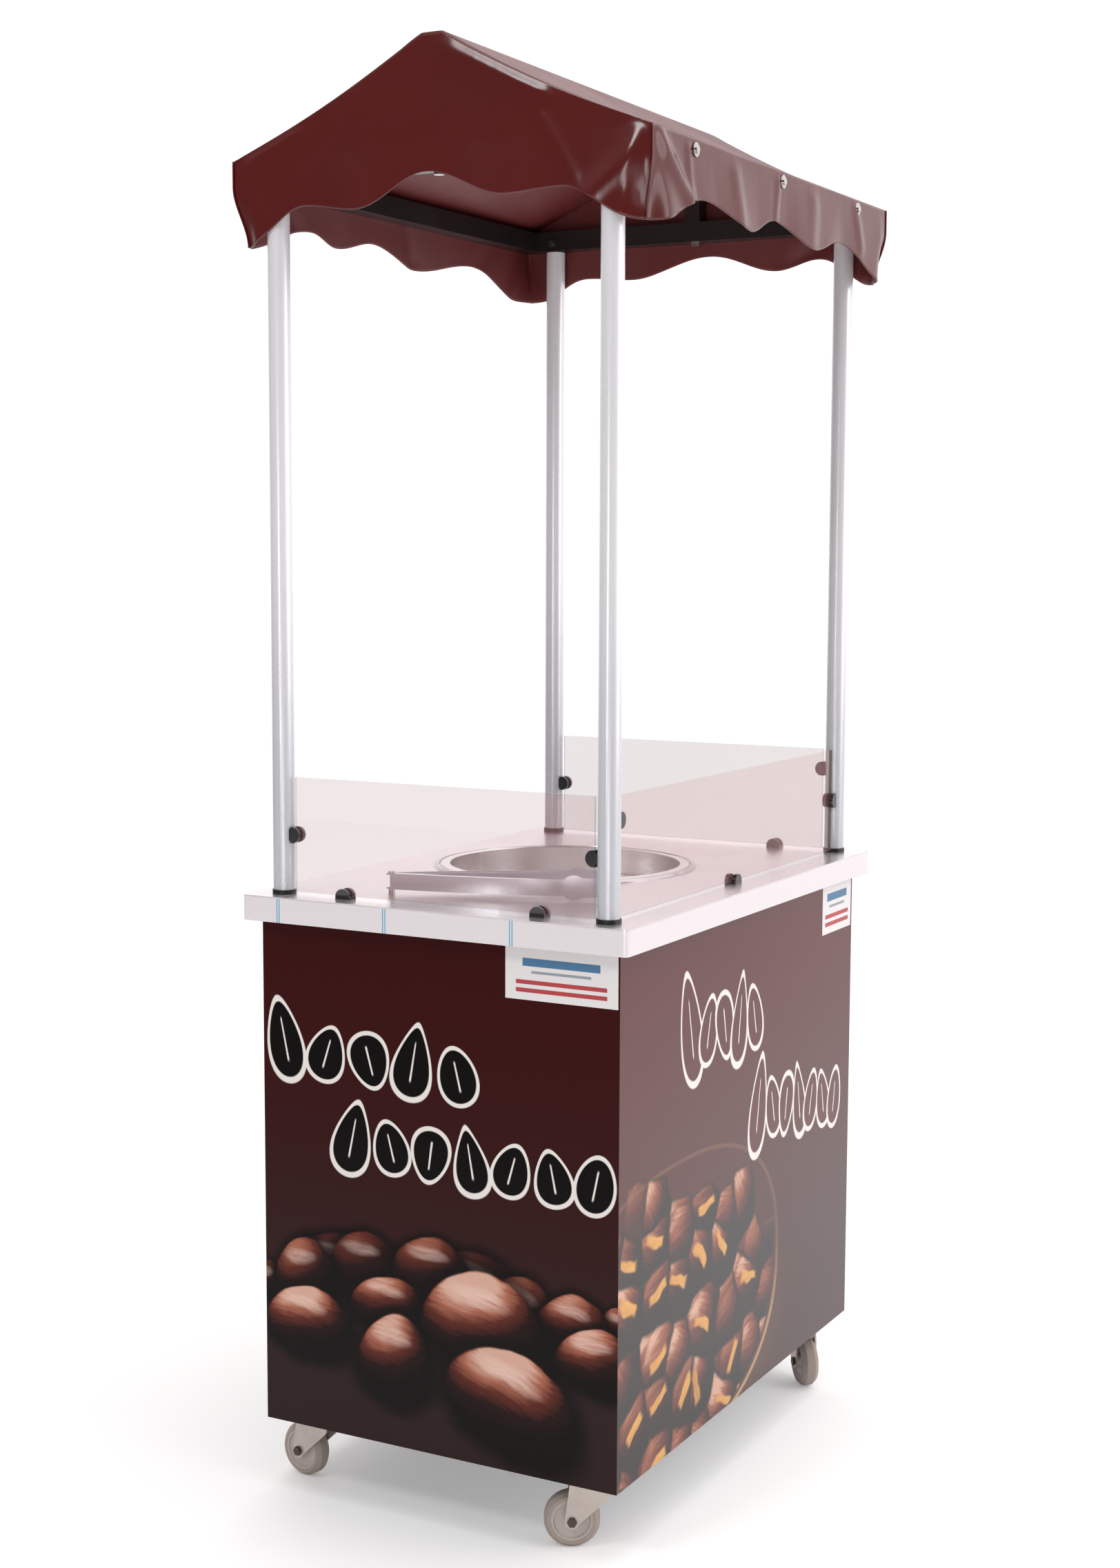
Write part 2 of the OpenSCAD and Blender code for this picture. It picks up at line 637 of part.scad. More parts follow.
module ridge_bar() {
  color([0.05, 0.05, 0.05]) translate([0, -rail_y, ridge_z - ridge_s / 2]) rotate([-90, 0, 0])
    square_tube(2 * rail_y, ridge_s, rail_wall);
}

// Gabled outline of the cover: flat top over the ridge bar, then down to the eaves and the valance.
module gable(x, z_eave, z_top, z_low, half_top) {
  polygon([[-x, z_low], [-x, z_eave], [-half_top, z_top], [half_top, z_top], [x, z_eave], [x, z_low]]);
}
module along_y(y) { translate([0, y, 0]) rotate([90, 0, 0]) linear_extrude(2 * y) children(); }

// Rows of scallops cut into one side of the valance, each a shallow arc.
module scallop_row(len, thick) {
  w = len / scallops;
  r = (w * w / 4 + scallop_h * scallop_h) / (2 * scallop_h);
  for (i = [0:scallops - 1]) translate([-len / 2 + (i + 0.5) * w, 0, scallop_h - r])
    rotate([90, 0, 0]) cylinder(r = r, h = thick, center = true, $fn = 96);
}
module canopy_cover() {
  corner = 12;
  color([0.28, 0.07, 0.06]) difference() {
    along_y(cover_y) gable(cover_x, eave_z, cover_top, valance_z, ridge_s / 2 + 2);
    along_y(cover_y - cover_t)
      gable(cover_x - cover_t, eave_z - cover_t, cover_top - cover_t, valance_z - 1, ridge_s / 2 + 1);
    for (sy = [-1, 1]) translate([0, sy * cover_y, valance_z - eps])
      scallop_row(2 * (cover_x - corner), 4 * cover_t);
    for (sx = [-1, 1]) translate([sx * cover_x, 0, valance_z - eps]) rotate([0, 0, 90])
      scallop_row(2 * (cover_y - corner), 4 * cover_t);
    for (sx = [-1, 1], y = screw_ys) translate([sx * (cover_x - cover_t - 1), y, rail_z + rail_s - screw_drop])
      rotate([0, sx * 90, 0]) cylinder(r = screw_r + run_gap, h = 6);
  }
}

module canopy_screws() {
  color("silver") for (sx = [-1, 1], y = screw_ys)
    translate([sx * cover_x, y, rail_z + rail_s - screw_drop]) rotate([0, sx * 90, 0]) {
      cylinder(r = 9, h = 1.2);
      translate([0, 0, 1]) cylinder(r = 5, h = 2.6);
      translate([0, 0, -14]) cylinder(r = screw_r, h = 15);
    }
}

// ---------- casters ----------
module caster_plates() {
  color("silver") for (c = casters) at_caster(c) difference() {
    union() {
      rotate([0, 0, -c[2]]) translate([-plate_s / 2, -plate_s / 2, caster_h - plate_t])
        cube([plate_s, plate_s, plate_t]);
      translate([0, 0, crown_z + crown_t + seat_gap]) cylinder(r = race_r, h = race_h - seat_gap + eps);
      translate([0, 0, crown_z - 3]) cylinder(r = kingpin_r, h = race_h + 5);
      translate([0, 0, crown_z - 4 - seat_gap]) cylinder(r = kingpin_r + 3, h = 4);
    }
    rotate([0, 0, -c[2]]) for (bx = [-1, 1], by = [-1, 1])
      translate([bx * caster_bolt, by * caster_bolt, caster_h - plate_t - 1])
        cylinder(r = m6_r + hole_gap, h = plate_t + 2);
  }
}

module caster_bolts() {
  color("silver") at_caster_bolts() {
    translate([0, 0, caster_h - plate_t - 4]) cylinder(r = 5.5, h = 4, $fn = 6);
    translate([0, 0, caster_h - plate_t - 1]) cylinder(r = m6_r, h = plate_t + angle_t + panel_t + 8);
    translate([0, 0, floor_z + panel_t]) cylinder(r = 5.5, h = 5, $fn = 6);
  }
}

// Side leg of a fork: broad at the crown, round at the axle. Local +X trails.
leg_top_x = 30;
leg_end_r = 10;
module leg_outline() {
  polygon(concat([[-22, crown_z + crown_t], [-22, crown_z - 8], [-14, crown_z - 16]],
    [for (a = [200:20:360]) [trail + leg_end_r * cos(a), wheel_r + leg_end_r * sin(a)]],
    [[trail + 4, crown_z - 2], [trail + 4, crown_z + crown_t]]));
}
module fork(c) {
  color([0.72, 0.69, 0.66]) at_caster(c) difference() {
    union() {
      for (s = [-1, 1]) translate([0, s * (leg_gap / 2 + leg_t / 2), 0]) rotate([90, 0, 0])
        translate([0, 0, -leg_t / 2]) linear_extrude(leg_t) leg_outline();
      translate([-22, -leg_gap / 2 - leg_t / 2, crown_z]) cube([26 + trail, leg_gap + leg_t, crown_t]);
      translate([0, 0, crown_z]) cylinder(r = race_r + 2, h = crown_t);
    }
    translate([0, 0, crown_z - 1]) cylinder(r = kingpin_r + run_gap, h = crown_t + 2);
    translate([trail, 0, wheel_r]) rotate([90, 0, 0]) cylinder(r = axle_r + run_gap, h = 60, center = true);
  }
}

// Axle bolt with its head and nut outside the fork's legs.
module axle(c) {
  half = leg_gap / 2 + leg_t;
  color([0.25, 0.25, 0.25]) at_caster(c) translate([trail, half + 4, wheel_r]) rotate([90, 0, 0]) {
    cylinder(r = axle_r, h = 2 * half + 8);
    cylinder(r = axle_r + 2.6, h = 4, $fn = 6);
    translate([0, 0, 2 * half + 4]) cylinder(r = axle_r + 2.6, h = 4, $fn = 6);
  }
}

// Moulded wheel core turned round its axle bore.
module hub(c) {
  color([0.8, 0.78, 0.74]) at_caster(c) translate([trail, 0, wheel_r]) rotate([90, 0, 0]) rotate_extrude()
    polygon([[axle_r + run_gap, -bore_len / 2], [10, -bore_len / 2], [12, -wheel_w / 2 + 4],
      [hub_r - 4, -wheel_w / 2 + 3], [hub_r - 3, -wheel_w / 2 + 0.5], [hub_r, -wheel_w / 2 + 0.5],
      [hub_r, wheel_w / 2 - 0.5], [hub_r - 3, wheel_w / 2 - 0.5], [hub_r - 4, wheel_w / 2 - 3],
      [12, wheel_w / 2 - 4], [10, bore_len / 2], [axle_r + run_gap, bore_len / 2]]);
}

// Crowned rubber tread round the core.
module tyre(c) {
  r0 = hub_r + run_gap;
  color([0.62, 0.58, 0.54]) at_caster(c) translate([trail, 0, wheel_r]) rotate([90, 0, 0]) rotate_extrude()
    polygon([[r0, -wheel_w / 2], [wheel_r - 5, -wheel_w / 2], [wheel_r - 1.5, -wheel_w / 2 + 4],
      [wheel_r, -wheel_w / 4], [wheel_r, wheel_w / 4], [wheel_r - 1.5, wheel_w / 2 - 4],
      [wheel_r - 5, wheel_w / 2], [r0, wheel_w / 2]]);
}
module fork_fr() { fork(casters[0]); }
module axle_fr() { axle(casters[0]); }
module hub_fr() { hub(casters[0]); }
module tyre_fr() { tyre(casters[0]); }
module fork_fl() { fork(casters[1]); }
module axle_fl() { axle(casters[1]); }
module hub_fl() { hub(casters[1]); }
module tyre_fl() { tyre(casters[1]); }
module fork_rr() { fork(casters[2]); }
module axle_rr() { axle(casters[2]); }
module hub_rr() { hub(casters[2]); }
module tyre_rr() { tyre(casters[2]); }
module fork_rl() { fork(casters[3]); }
module axle_rl() { axle(casters[3]); }
module hub_rl() { hub(casters[3]); }
module tyre_rl() { tyre(casters[3]); }

// ---------- tongs ----------
module at_tongs() { translate([tong_x, tong_y, tong_z]) rotate([0, 0, tong_dir]) children(); }

// Centre line of an arm, bowed outward from the pin and closing at the spoon.
function arm_line(n, off) = [for (i = [0:n]) let (u = i / n)
  [tongs_l * u, off - 10 * sin(180 * u) - 5 * pow(1 - u, 2) + 7 * pow(u, 6)]];
function flip(p) = [for (i = [len(p) - 1:-1:0]) p[i]];

// One arm of stamped sheet; h is its height, e the half height of its hinge ears.
module tong_arm(e) {
  n = 24;
  mid = 18;
  difference() {
    union() {
      intersection() {
        linear_extrude(2 * mid) polygon(concat(arm_line(n, -tong_t), flip(arm_line(n, 0))));
        union() {
          translate([0, -40, mid - tong_h / 2]) cube([tongs_l - 24, 80, tong_h]);
          translate([tongs_l - 34, 40, mid]) rotate([90, 0, 0]) cylinder(r = mid - 1, h = 80);
          translate([tongs_l - 34, -40, mid - 13]) cube([34, 80, 26]);
        }
      }
      for (z = [mid - e, mid + e - tong_t]) translate([0, 0, z]) linear_extrude(tong_t)
        polygon(concat(arm_line(n, -tong_t / 2),
          [[tongs_l * 0.8, -4], [tongs_l * 0.3, -3], [4, 4], [-5, 4], [-7, -1]]));
    }
    translate([0, 0, -1]) cylinder(r = tong_pin_r + run_gap, h = 2 * mid + 2);
  }
}
// The near arm is turned to the counter's edge, with a pull ring on its hinge end.
module tongs_near_arm() {
  color([0.8, 0.8, 0.82]) at_tongs() {
    rotate([0, 0, -tongs_open / 2]) tong_arm(11);
  }
}
module tongs_far_arm() {
  color([0.8, 0.8, 0.82]) at_tongs() rotate([0, 0, tongs_open / 2]) mirror([0, 1, 0])
    tong_arm(11 - tong_t - seat_gap);
}
module tongs_pin() {
  color("silver") at_tongs() {
    cylinder(r = tong_pin_r, h = 31);
    cylinder(r = tong_pin_r + 2, h = 6.5);
    translate([0, 0, 29.5]) cylinder(r = tong_pin_r + 2, h = 2);
  }
}

base_frame();
uprights();
top_frame();
floor_panel();
front_panel();
rear_panel();
side_panel();
vendor_fascia();
door_front();
door_rear();
door_handle_front();
door_handle_rear();
door_hinge_pins();
magnetic_catches();
counter_top();
pan_collar();
roasting_pan();
burner_straps();
burner_ring();
mixer_tube();
gas_valve();
control_knob();
posts();
post_base_caps();
post_base_bolts();
post_top_plugs();
post_top_screws();
glass_front();
glass_side();
glass_rear();
glass_clamps();
clamp_gaskets();
side_rails();
end_rails();
king_posts();
king_post_bolts();
ridge_bar();
canopy_cover();
canopy_screws();
caster_plates();
caster_bolts();
fork_fr();
fork_fl();
fork_rr();
fork_rl();
axle_fr();
axle_fl();
axle_rr();
axle_rl();
hub_fr();
hub_fl();
hub_rr();
hub_rl();
tyre_fr();
tyre_fl();
tyre_rr();
tyre_rl();
tongs_near_arm();
tongs_far_arm();
tongs_pin();
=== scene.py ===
"""Looks of the push vending cart: materials, printed panels, coated-cloth canopy, tongs, light and camera."""

import json
import math

import bmesh
import bpy
import numpy as np
from mathutils import Matrix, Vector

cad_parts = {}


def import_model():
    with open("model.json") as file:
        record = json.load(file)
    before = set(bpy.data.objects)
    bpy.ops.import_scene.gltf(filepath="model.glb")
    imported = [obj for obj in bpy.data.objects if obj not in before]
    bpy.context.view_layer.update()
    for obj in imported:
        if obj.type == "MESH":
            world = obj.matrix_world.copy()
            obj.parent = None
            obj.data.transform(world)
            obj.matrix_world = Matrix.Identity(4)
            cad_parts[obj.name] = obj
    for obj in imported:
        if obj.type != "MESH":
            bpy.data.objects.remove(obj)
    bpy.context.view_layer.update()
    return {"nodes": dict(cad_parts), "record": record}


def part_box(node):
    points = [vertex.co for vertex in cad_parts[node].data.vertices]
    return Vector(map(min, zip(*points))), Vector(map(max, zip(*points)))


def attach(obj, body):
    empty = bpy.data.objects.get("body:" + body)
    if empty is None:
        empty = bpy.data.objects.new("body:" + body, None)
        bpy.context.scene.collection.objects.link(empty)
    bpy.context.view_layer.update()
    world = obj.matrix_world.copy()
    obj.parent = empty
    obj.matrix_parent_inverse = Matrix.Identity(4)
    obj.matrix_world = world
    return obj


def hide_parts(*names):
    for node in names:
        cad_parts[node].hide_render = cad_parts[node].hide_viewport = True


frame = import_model()
NODES = frame["nodes"]


def corners(node):
    """Lowest and highest corner of a node at rest, to a hundredth of a millimetre."""
    return [[round(float(v), 5) for v in corner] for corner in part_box(node)]


RAIL_HIGH, RIDGE_HIGH = corners("side_rails")[1], corners("ridge_bar")[1]
POST_TOP = corners("posts")[1][2]
COUNTER_LOW, COUNTER_HIGH = corners("counter_top")
# inner face of the front and rear panes, from the middle of the cart
PANE_INNER = -corners("glass_front")[1][1]
# printed outer faces from the middle of the cart, for a panel that runs along x and one that runs along y
PANEL_OUT = (-corners("front_panel")[0][1], corners("side_panel")[1][0])
PANEL_TOP, PANEL_END = corners("front_panel")[1][2], corners("side_panel")[1][1]

# ---------------------------------------------------------------- node helpers


class Tree:
    """A small writer for one node tree."""

    def __init__(self, tree):
        self.tree = tree
        self.nodes = tree.nodes
        self.links = tree.links

    def put(self, socket, value):
        """Links a socket to another, or sets it to a constant."""
        if hasattr(value, "is_linked"):
            self.links.new(value, socket)
        elif hasattr(socket.default_value, "__len__") and not hasattr(value, "__len__"):
            socket.default_value = [value] * len(socket.default_value)
        else:
            socket.default_value = value

    def node(self, kind, **inputs):
        """Adds a node; keyword names are input names, or i0, i1 for an input's number."""
        n = self.nodes.new(kind)
        for key, value in inputs.items():
            index = int(key[1:]) if key[0] == "i" and key[1:].isdigit() else key
            self.put(n.inputs[index], value)
        return n

    def math(self, op, a, b=0.0, clamp=False):
        n = self.nodes.new("ShaderNodeMath")
        n.operation = op
        n.use_clamp = clamp
        self.put(n.inputs[0], a)
        self.put(n.inputs[1], b)
        return n.outputs[0]

    def total(self, *terms):
        """Sum of products, each term a pair of values."""
        result = None
        for a, b in terms:
            product = self.math("MULTIPLY", a, b)
            result = product if result is None else self.math("ADD", result, product)
        return result

    def away(self, value, middle):
        """Distance of a value from a middle, never negative."""
        return self.math("ABSOLUTE", self.math("SUBTRACT", value, middle))

    def bump(self, height, strength, distance):
        """A normal from a height, with the distance in metres."""
        return self.node("ShaderNodeBump", Strength=strength, Distance=distance, Height=height).outputs[0]

    def smooth(self, value, low, high, out_low=0.0, out_high=1.0):
        """Maps value from low..high to out_low..out_high with a soft start and end."""
        n = self.nodes.new("ShaderNodeMapRange")
        n.interpolation_type = "SMOOTHSTEP"
        for socket, v in zip(n.inputs, (value, low, high, out_low, out_high)):
            self.put(socket, v)
        return n.outputs[0]

    def mix(self, factor, a, b, blend="MIX"):
        """Mixes two colours."""
        n = self.nodes.new("ShaderNodeMix")
        n.data_type = "RGBA"
        n.blend_type = blend
        self.put(n.inputs[0], factor)
        self.put(n.inputs[6], a)
        self.put(n.inputs[7], b)
        return n.outputs[2]

    def ramp(self, value, first, *rest):
        """A colour ramp; each stop is a place from 0 to 1 and a colour, in rising order."""
        n = self.nodes.new("ShaderNodeValToRGB")
        stops = n.color_ramp.elements
        stops[0].position, stops[0].color = first
        stops[1].position, stops[1].color = rest[-1]
        for at, colour in rest[:-1]:
            stops.new(at).color = colour
        self.put(n.inputs[0], value)
        return n.outputs[0]

    def split(self, vector):
        n = self.node("ShaderNodeSeparateXYZ", i0=vector)
        return n.outputs[0], n.outputs[1], n.outputs[2]

    def join(self, x, y, z):
        return self.node("ShaderNodeCombineXYZ", i0=x, i1=y, i2=z).outputs[0]


def group(name, inputs, outputs):
    """Makes an empty node group and returns it with its writer and its input and output nodes."""
    tree = bpy.data.node_groups.new(name, "ShaderNodeTree")
    for title, kind in inputs:
        tree.interface.new_socket(name=title, in_out="INPUT", socket_type=kind)
    for title, kind in outputs:
        tree.interface.new_socket(name=title, in_out="OUTPUT", socket_type=kind)
    w = Tree(tree)
    return tree, w, w.node("NodeGroupInput").outputs, w.node("NodeGroupOutput").inputs


def use(w, tree, *values):
    """Places a node group in a tree with its inputs set in order."""
    n = w.nodes.new("ShaderNodeGroup")
    n.node_tree = tree
    for socket, value in zip(n.inputs, values):
        w.put(socket, value)
    return n.outputs


FLOAT, COLOUR, VECTOR = "NodeSocketFloat", "NodeSocketColor", "NodeSocketVector"


def rgb(r, g, b):
    """Linear colour from sRGB values of 0 to 255."""
    lin = [((c / 255 + 0.055) / 1.055) ** 2.4 if c > 10 else c / 255 / 12.92 for c in (r, g, b)]
    return (*lin, 1.0)


def material(name, colour, rough=0.4, metal=0.0, coat=0.0, ior=1.5):
    """A plain principled material, its writer and its shader."""
    m = bpy.data.materials.new(name)
    m.use_nodes = True
    w = Tree(m.node_tree)
    s = w.nodes["Principled BSDF"]
    for key, value in (("Base Color", colour), ("Roughness", rough), ("Metallic", metal),
                       ("Coat Weight", coat), ("Coat Roughness", 0.06), ("IOR", ior)):
        s.inputs[key].default_value = value
    return m, w, s


def object_point(w):
    return w.node("ShaderNodeTexCoord").outputs["Object"]


# ---------------------------------------------------------------- shared effects


def make_wear():
    """Cloudy marks: a colour varied a little, and a roughness varied with it."""
    tree, w, i, o = group("wear", [("Point", VECTOR), ("Colour", COLOUR), ("Roughness", FLOAT),
                                   ("Scale", FLOAT), ("Amount", FLOAT)],
                          [("Colour", COLOUR), ("Roughness", FLOAT)])
    n = w.node("ShaderNodeTexNoise", Vector=i[0], Scale=i[3], Detail=4.0, Roughness=0.6)
    dark = w.mix(1.0, i[1], (0.75, 0.75, 0.75, 1), "MULTIPLY")
    amount = w.math("MULTIPLY", w.smooth(n.outputs[0], 0.4, 0.7), i[4])
    w.put(o[0], w.mix(amount, i[1], dark))
    w.put(o[1], w.math("ADD", i[2], w.math("MULTIPLY", amount, 0.18)))
    return tree


def make_brushed():
    """Fine lines along one direction, as a normal."""
    tree, w, i, o = group("brushed", [("Point", VECTOR), ("Stretch", VECTOR), ("Strength", FLOAT)],
                          [("Normal", VECTOR)])
    scaled = w.nodes.new("ShaderNodeVectorMath")
    scaled.operation = "MULTIPLY"
    w.put(scaled.inputs[0], i[0])
    w.put(scaled.inputs[1], i[1])
    n = w.node("ShaderNodeTexNoise", Vector=scaled.outputs[0], Scale=1.0, Detail=3.0, Roughness=0.7)
    w.put(o[0], w.bump(n.outputs[0], i[2], 0.0003))
    return tree


def make_local_ellipse():
    """Coordinates of a point in a turned ellipse's own frame, 1 at its edge, with a pinch towards its top."""
    tree, w, i, o = group("local_ellipse", [("Across", FLOAT), ("Up", FLOAT), ("Centre", VECTOR),
                                            ("Radii", VECTOR), ("Angle", FLOAT), ("Pinch", FLOAT)],
                          [("U", FLOAT), ("V", FLOAT), ("Distance", FLOAT)])
    cx, cz, _ = w.split(i[2])
    rx, rz, _ = w.split(i[3])
    dx = w.math("SUBTRACT", i[0], cx)
    dz = w.math("SUBTRACT", i[1], cz)
    c = w.math("COSINE", i[4])
    s = w.math("SINE", i[4])
    u = w.total((dx, c), (dz, s))
    v = w.math("SUBTRACT", w.math("MULTIPLY", dz, c), w.math("MULTIPLY", dx, s))
    v = w.math("DIVIDE", v, rz)
    narrow = w.math("SUBTRACT", 1.0, w.math("MULTIPLY", i[5], w.math("ADD", v, 0.2)))
    u = w.math("DIVIDE", w.math("DIVIDE", u, rx), w.math("MAXIMUM", narrow, 0.12))
    w.put(o[0], u)
    w.put(o[1], v)
    w.put(o[2], w.math("SQRT", w.total((u, u), (v, v))))
    return tree


# how much of a printed nut's shade comes from its left side, its top and its height, and from its grain
NUT_LIGHT, NUT_GRAIN = (-0.38, 0.72, 0.50), 0.24


def make_nut(ellipse):
    """One printed chestnut laid over a picture: a lit, glossy, grained egg shape with a soft shadow."""
    tree, w, i, o = group("printed_nut", [("Back", COLOUR), ("Point", VECTOR), ("Centre", VECTOR),
                                          ("Radii", VECTOR), ("Angle", FLOAT), ("Gleam", FLOAT),
                                          ("Seed", FLOAT)],
                          [("Colour", COLOUR)])
    x, z, _ = w.split(i[1])
    warp = w.node("ShaderNodeTexNoise", Vector=w.join(x, z, i[6]), Scale=16.0, Detail=2.0)
    wobble = w.math("MULTIPLY", w.math("SUBTRACT", warp.outputs[0], 0.5), 0.016)
    u, v, d = use(w, ellipse, w.math("ADD", x, wobble), w.math("ADD", z, wobble), i[2], i[3], i[4], 0.16)
    mask = w.smooth(d, 0.97, 1.03, 1.0, 0.0)
    height = w.math("SQRT", w.math("MAXIMUM", w.math("SUBTRACT", 1.0, w.math("MULTIPLY", d, d)), 0.0))
    stretched = w.join(w.math("MULTIPLY", u, 0.7), w.math("MULTIPLY", v, 5.0), i[6])
    grain = w.node("ShaderNodeTexNoise", Vector=stretched, Scale=2.4, Detail=4.0, Roughness=0.65)
    lit = w.total((u, NUT_LIGHT[0]), (v, NUT_LIGHT[1]), (height, NUT_LIGHT[2]),
                  (w.math("SUBTRACT", grain.outputs[0], 0.5), NUT_GRAIN))
    shell = w.ramp(w.math("MULTIPLY", lit, i[5]), (0.05, rgb(12, 6, 5)), (0.42, rgb(36, 15, 14)),
                   (0.66, rgb(98, 44, 34)), (0.86, rgb(176, 108, 86)), (1.0, rgb(222, 176, 156)))
    gu = w.math("ADD", u, 0.22)
    gv = w.math("SUBTRACT", v, 0.48)
    spot = w.total((w.math("MULTIPLY", gu, gu), 2.4), (w.math("MULTIPLY", gv, gv), 16.0))
    gloss = w.math("MULTIPLY", w.smooth(spot, 0.0, 1.0, 1.0, 0.0), w.math("MULTIPLY", grain.outputs[0], i[5]))
    colour = w.mix(w.math("MULTIPLY", gloss, 0.75, clamp=True), shell, rgb(246, 218, 204))
    shadow = w.smooth(d, 1.0, 1.35, 0.8, 0.0)
    w.put(o[0], w.mix(mask, w.mix(shadow, i[0], rgb(10, 5, 5)), colour))
    return tree


# half width of a motif's soft printed edge, and the width of its outline
SOFT_EDGE, OUTLINE = 0.0006, 0.0045


def make_motif(ellipse):
    """One outlined decoration: a drop shape filled with one colour inside a line of another."""
    tree, w, i, o = group("outlined_motif", [("Back", COLOUR), ("Point", VECTOR), ("Centre", VECTOR),
                                             ("Radii", VECTOR), ("Angle", FLOAT), ("Pinch", FLOAT),
                                             ("Line", FLOAT), ("Fill", COLOUR)],
                          [("Colour", COLOUR)])
    x, z, _ = w.split(i[1])
    u, _, d = use(w, ellipse, x, z, i[2], i[3], i[4], i[5])
    rx, rz, _ = w.split(i[3])
    far = w.math("MULTIPLY", w.math("SUBTRACT", d, 1.0), w.math("MINIMUM", rx, rz))
    inner = w.smooth(far, -SOFT_EDGE, SOFT_EDGE, 1.0, 0.0)
    outer = w.smooth(w.math("SUBTRACT", far, i[6]), -SOFT_EDGE, SOFT_EDGE, 1.0, 0.0)
    rib_at = w.math("ABSOLUTE", w.math("MULTIPLY", u, rx))
    rib = w.math("MULTIPLY", w.smooth(rib_at, 0.0008, 0.0018, 1.0, 0.0), w.smooth(d, 0.5, 0.62, 1.0, 0.0))
    white = rgb(240, 234, 228)
    filled = w.mix(rib, i[7], white)
    w.put(o[0], w.mix(inner, w.mix(outer, i[0], white), filled))
    return tree


WEAR = make_wear()
BRUSHED = make_brushed()
ELLIPSE = make_local_ellipse()
NUT = make_nut(ELLIPSE)
MOTIF = make_motif(ELLIPSE)

# ---------------------------------------------------------------- plain materials


def worn(name, colour, rough, metal=0.0, coat=0.0, scale=18.0, amount=0.35):
    m, w, s = material(name, colour, rough, metal, coat)
    c, r = use(w, WEAR, object_point(w), colour, rough, scale, amount)
    w.put(s.inputs["Base Color"], c)
    w.put(s.inputs["Roughness"], r)
    return m


def brushed(name, colour, rough, stretch, strength=0.25, scale=9.0):
    m, w, s = material(name, colour, rough, 1.0)
    p = object_point(w)
    c, r = use(w, WEAR, p, colour, rough, scale, 0.4)
    n = use(w, BRUSHED, p, stretch, strength)[0]
    w.put(s.inputs["Base Color"], c)
    w.put(s.inputs["Roughness"], r)
    w.put(s.inputs["Normal"], n)
    return m


PANEL_INSIDE = rgb(66, 22, 22)
MATS = {
    "frame_steel": worn("frame_steel", rgb(58, 56, 56), 0.5),
    "floor_sheet": brushed("floor_sheet", rgb(190, 190, 192), 0.35, (60.0, 900.0, 60.0)),
    "panel_inside": worn("panel_inside", PANEL_INSIDE, 0.22, 0.0, 0.6, 5.0, 0.2),
    "collar_steel": worn("collar_steel", rgb(206, 206, 208), 0.16, 1.0, 0.0, 12.0, 0.3),
    "pan_steel": brushed("pan_steel", rgb(240, 240, 240), 0.24, (500.0, 40.0, 500.0), 0.2),
    "burner_iron": worn("burner_iron", rgb(38, 37, 37), 0.75),
    "valve_brass": worn("valve_brass", rgb(196, 160, 92), 0.32, 1.0),
    "black_plastic": worn("black_plastic", rgb(24, 23, 24), 0.38),
    "bolt_steel": worn("bolt_steel", rgb(205, 202, 200), 0.2, 1.0),
    "clamp_chrome": worn("clamp_chrome", rgb(92, 90, 92), 0.1, 1.0, 0.0, 20.0, 0.2),
    "gasket_rubber": worn("gasket_rubber", rgb(16, 16, 16), 0.6),
    "rail_black": worn("rail_black", rgb(26, 23, 22), 0.34, 0.0, 0.25, 14.0, 0.3),
    "caster_steel": worn("caster_steel", rgb(205, 194, 186), 0.34, 0.72, 0.0, 22.0, 0.3),
    "axle_steel": worn("axle_steel", rgb(96, 86, 78), 0.4, 0.9),
    "hub_plastic": worn("hub_plastic", rgb(196, 184, 178), 0.42),
    "tread_rubber": worn("tread_rubber", rgb(172, 158, 148), 0.5, 0.0, 0.0, 30.0, 0.25),
    "tongs_steel": worn("tongs_steel", rgb(216, 220, 226), 0.2, 0.6, 0.0, 25.0, 0.4),
}


def post_material():
    """Satin drawn tube: fine lines along it, with cloudy wear marks that thicken near its foot, and its lower
    part painted greyer as a painted darker reflection.
    """
    m, w, s = material("post_aluminium", rgb(244, 244, 248), 0.26, 0.25)
    p = object_point(w)
    x, y, z = w.split(p)
    # 1 over the lower part of the post: it thickens the wear marks there and sets where the painted darker
    #                                    reflection goes
    low = w.smooth(z, 0.9, 1.35, 1.0, 0.0)
    drawn_out = w.join(w.math("MULTIPLY", x, 3.0), w.math("MULTIPLY", y, 3.0), z)
    amount = w.math("ADD", 0.08, w.math("MULTIPLY", low, 0.30))
    c, r = use(w, WEAR, drawn_out, rgb(246, 245, 249), 0.24, 12.0, amount)
    n = use(w, BRUSHED, p, (700.0, 700.0, 14.0), 0.1)[0]
    # the lower part is mixed towards grey: a painted darker reflection of the dark surroundings, not a colour
    # of the tube
    w.put(s.inputs["Base Color"], w.mix(w.math("MULTIPLY", low, 0.6), c, rgb(180, 183, 190)))
    w.put(s.inputs["Roughness"], r)
    w.put(s.inputs["Normal"], n)
    return m


GLASS_TINT = rgb(196, 142, 142)


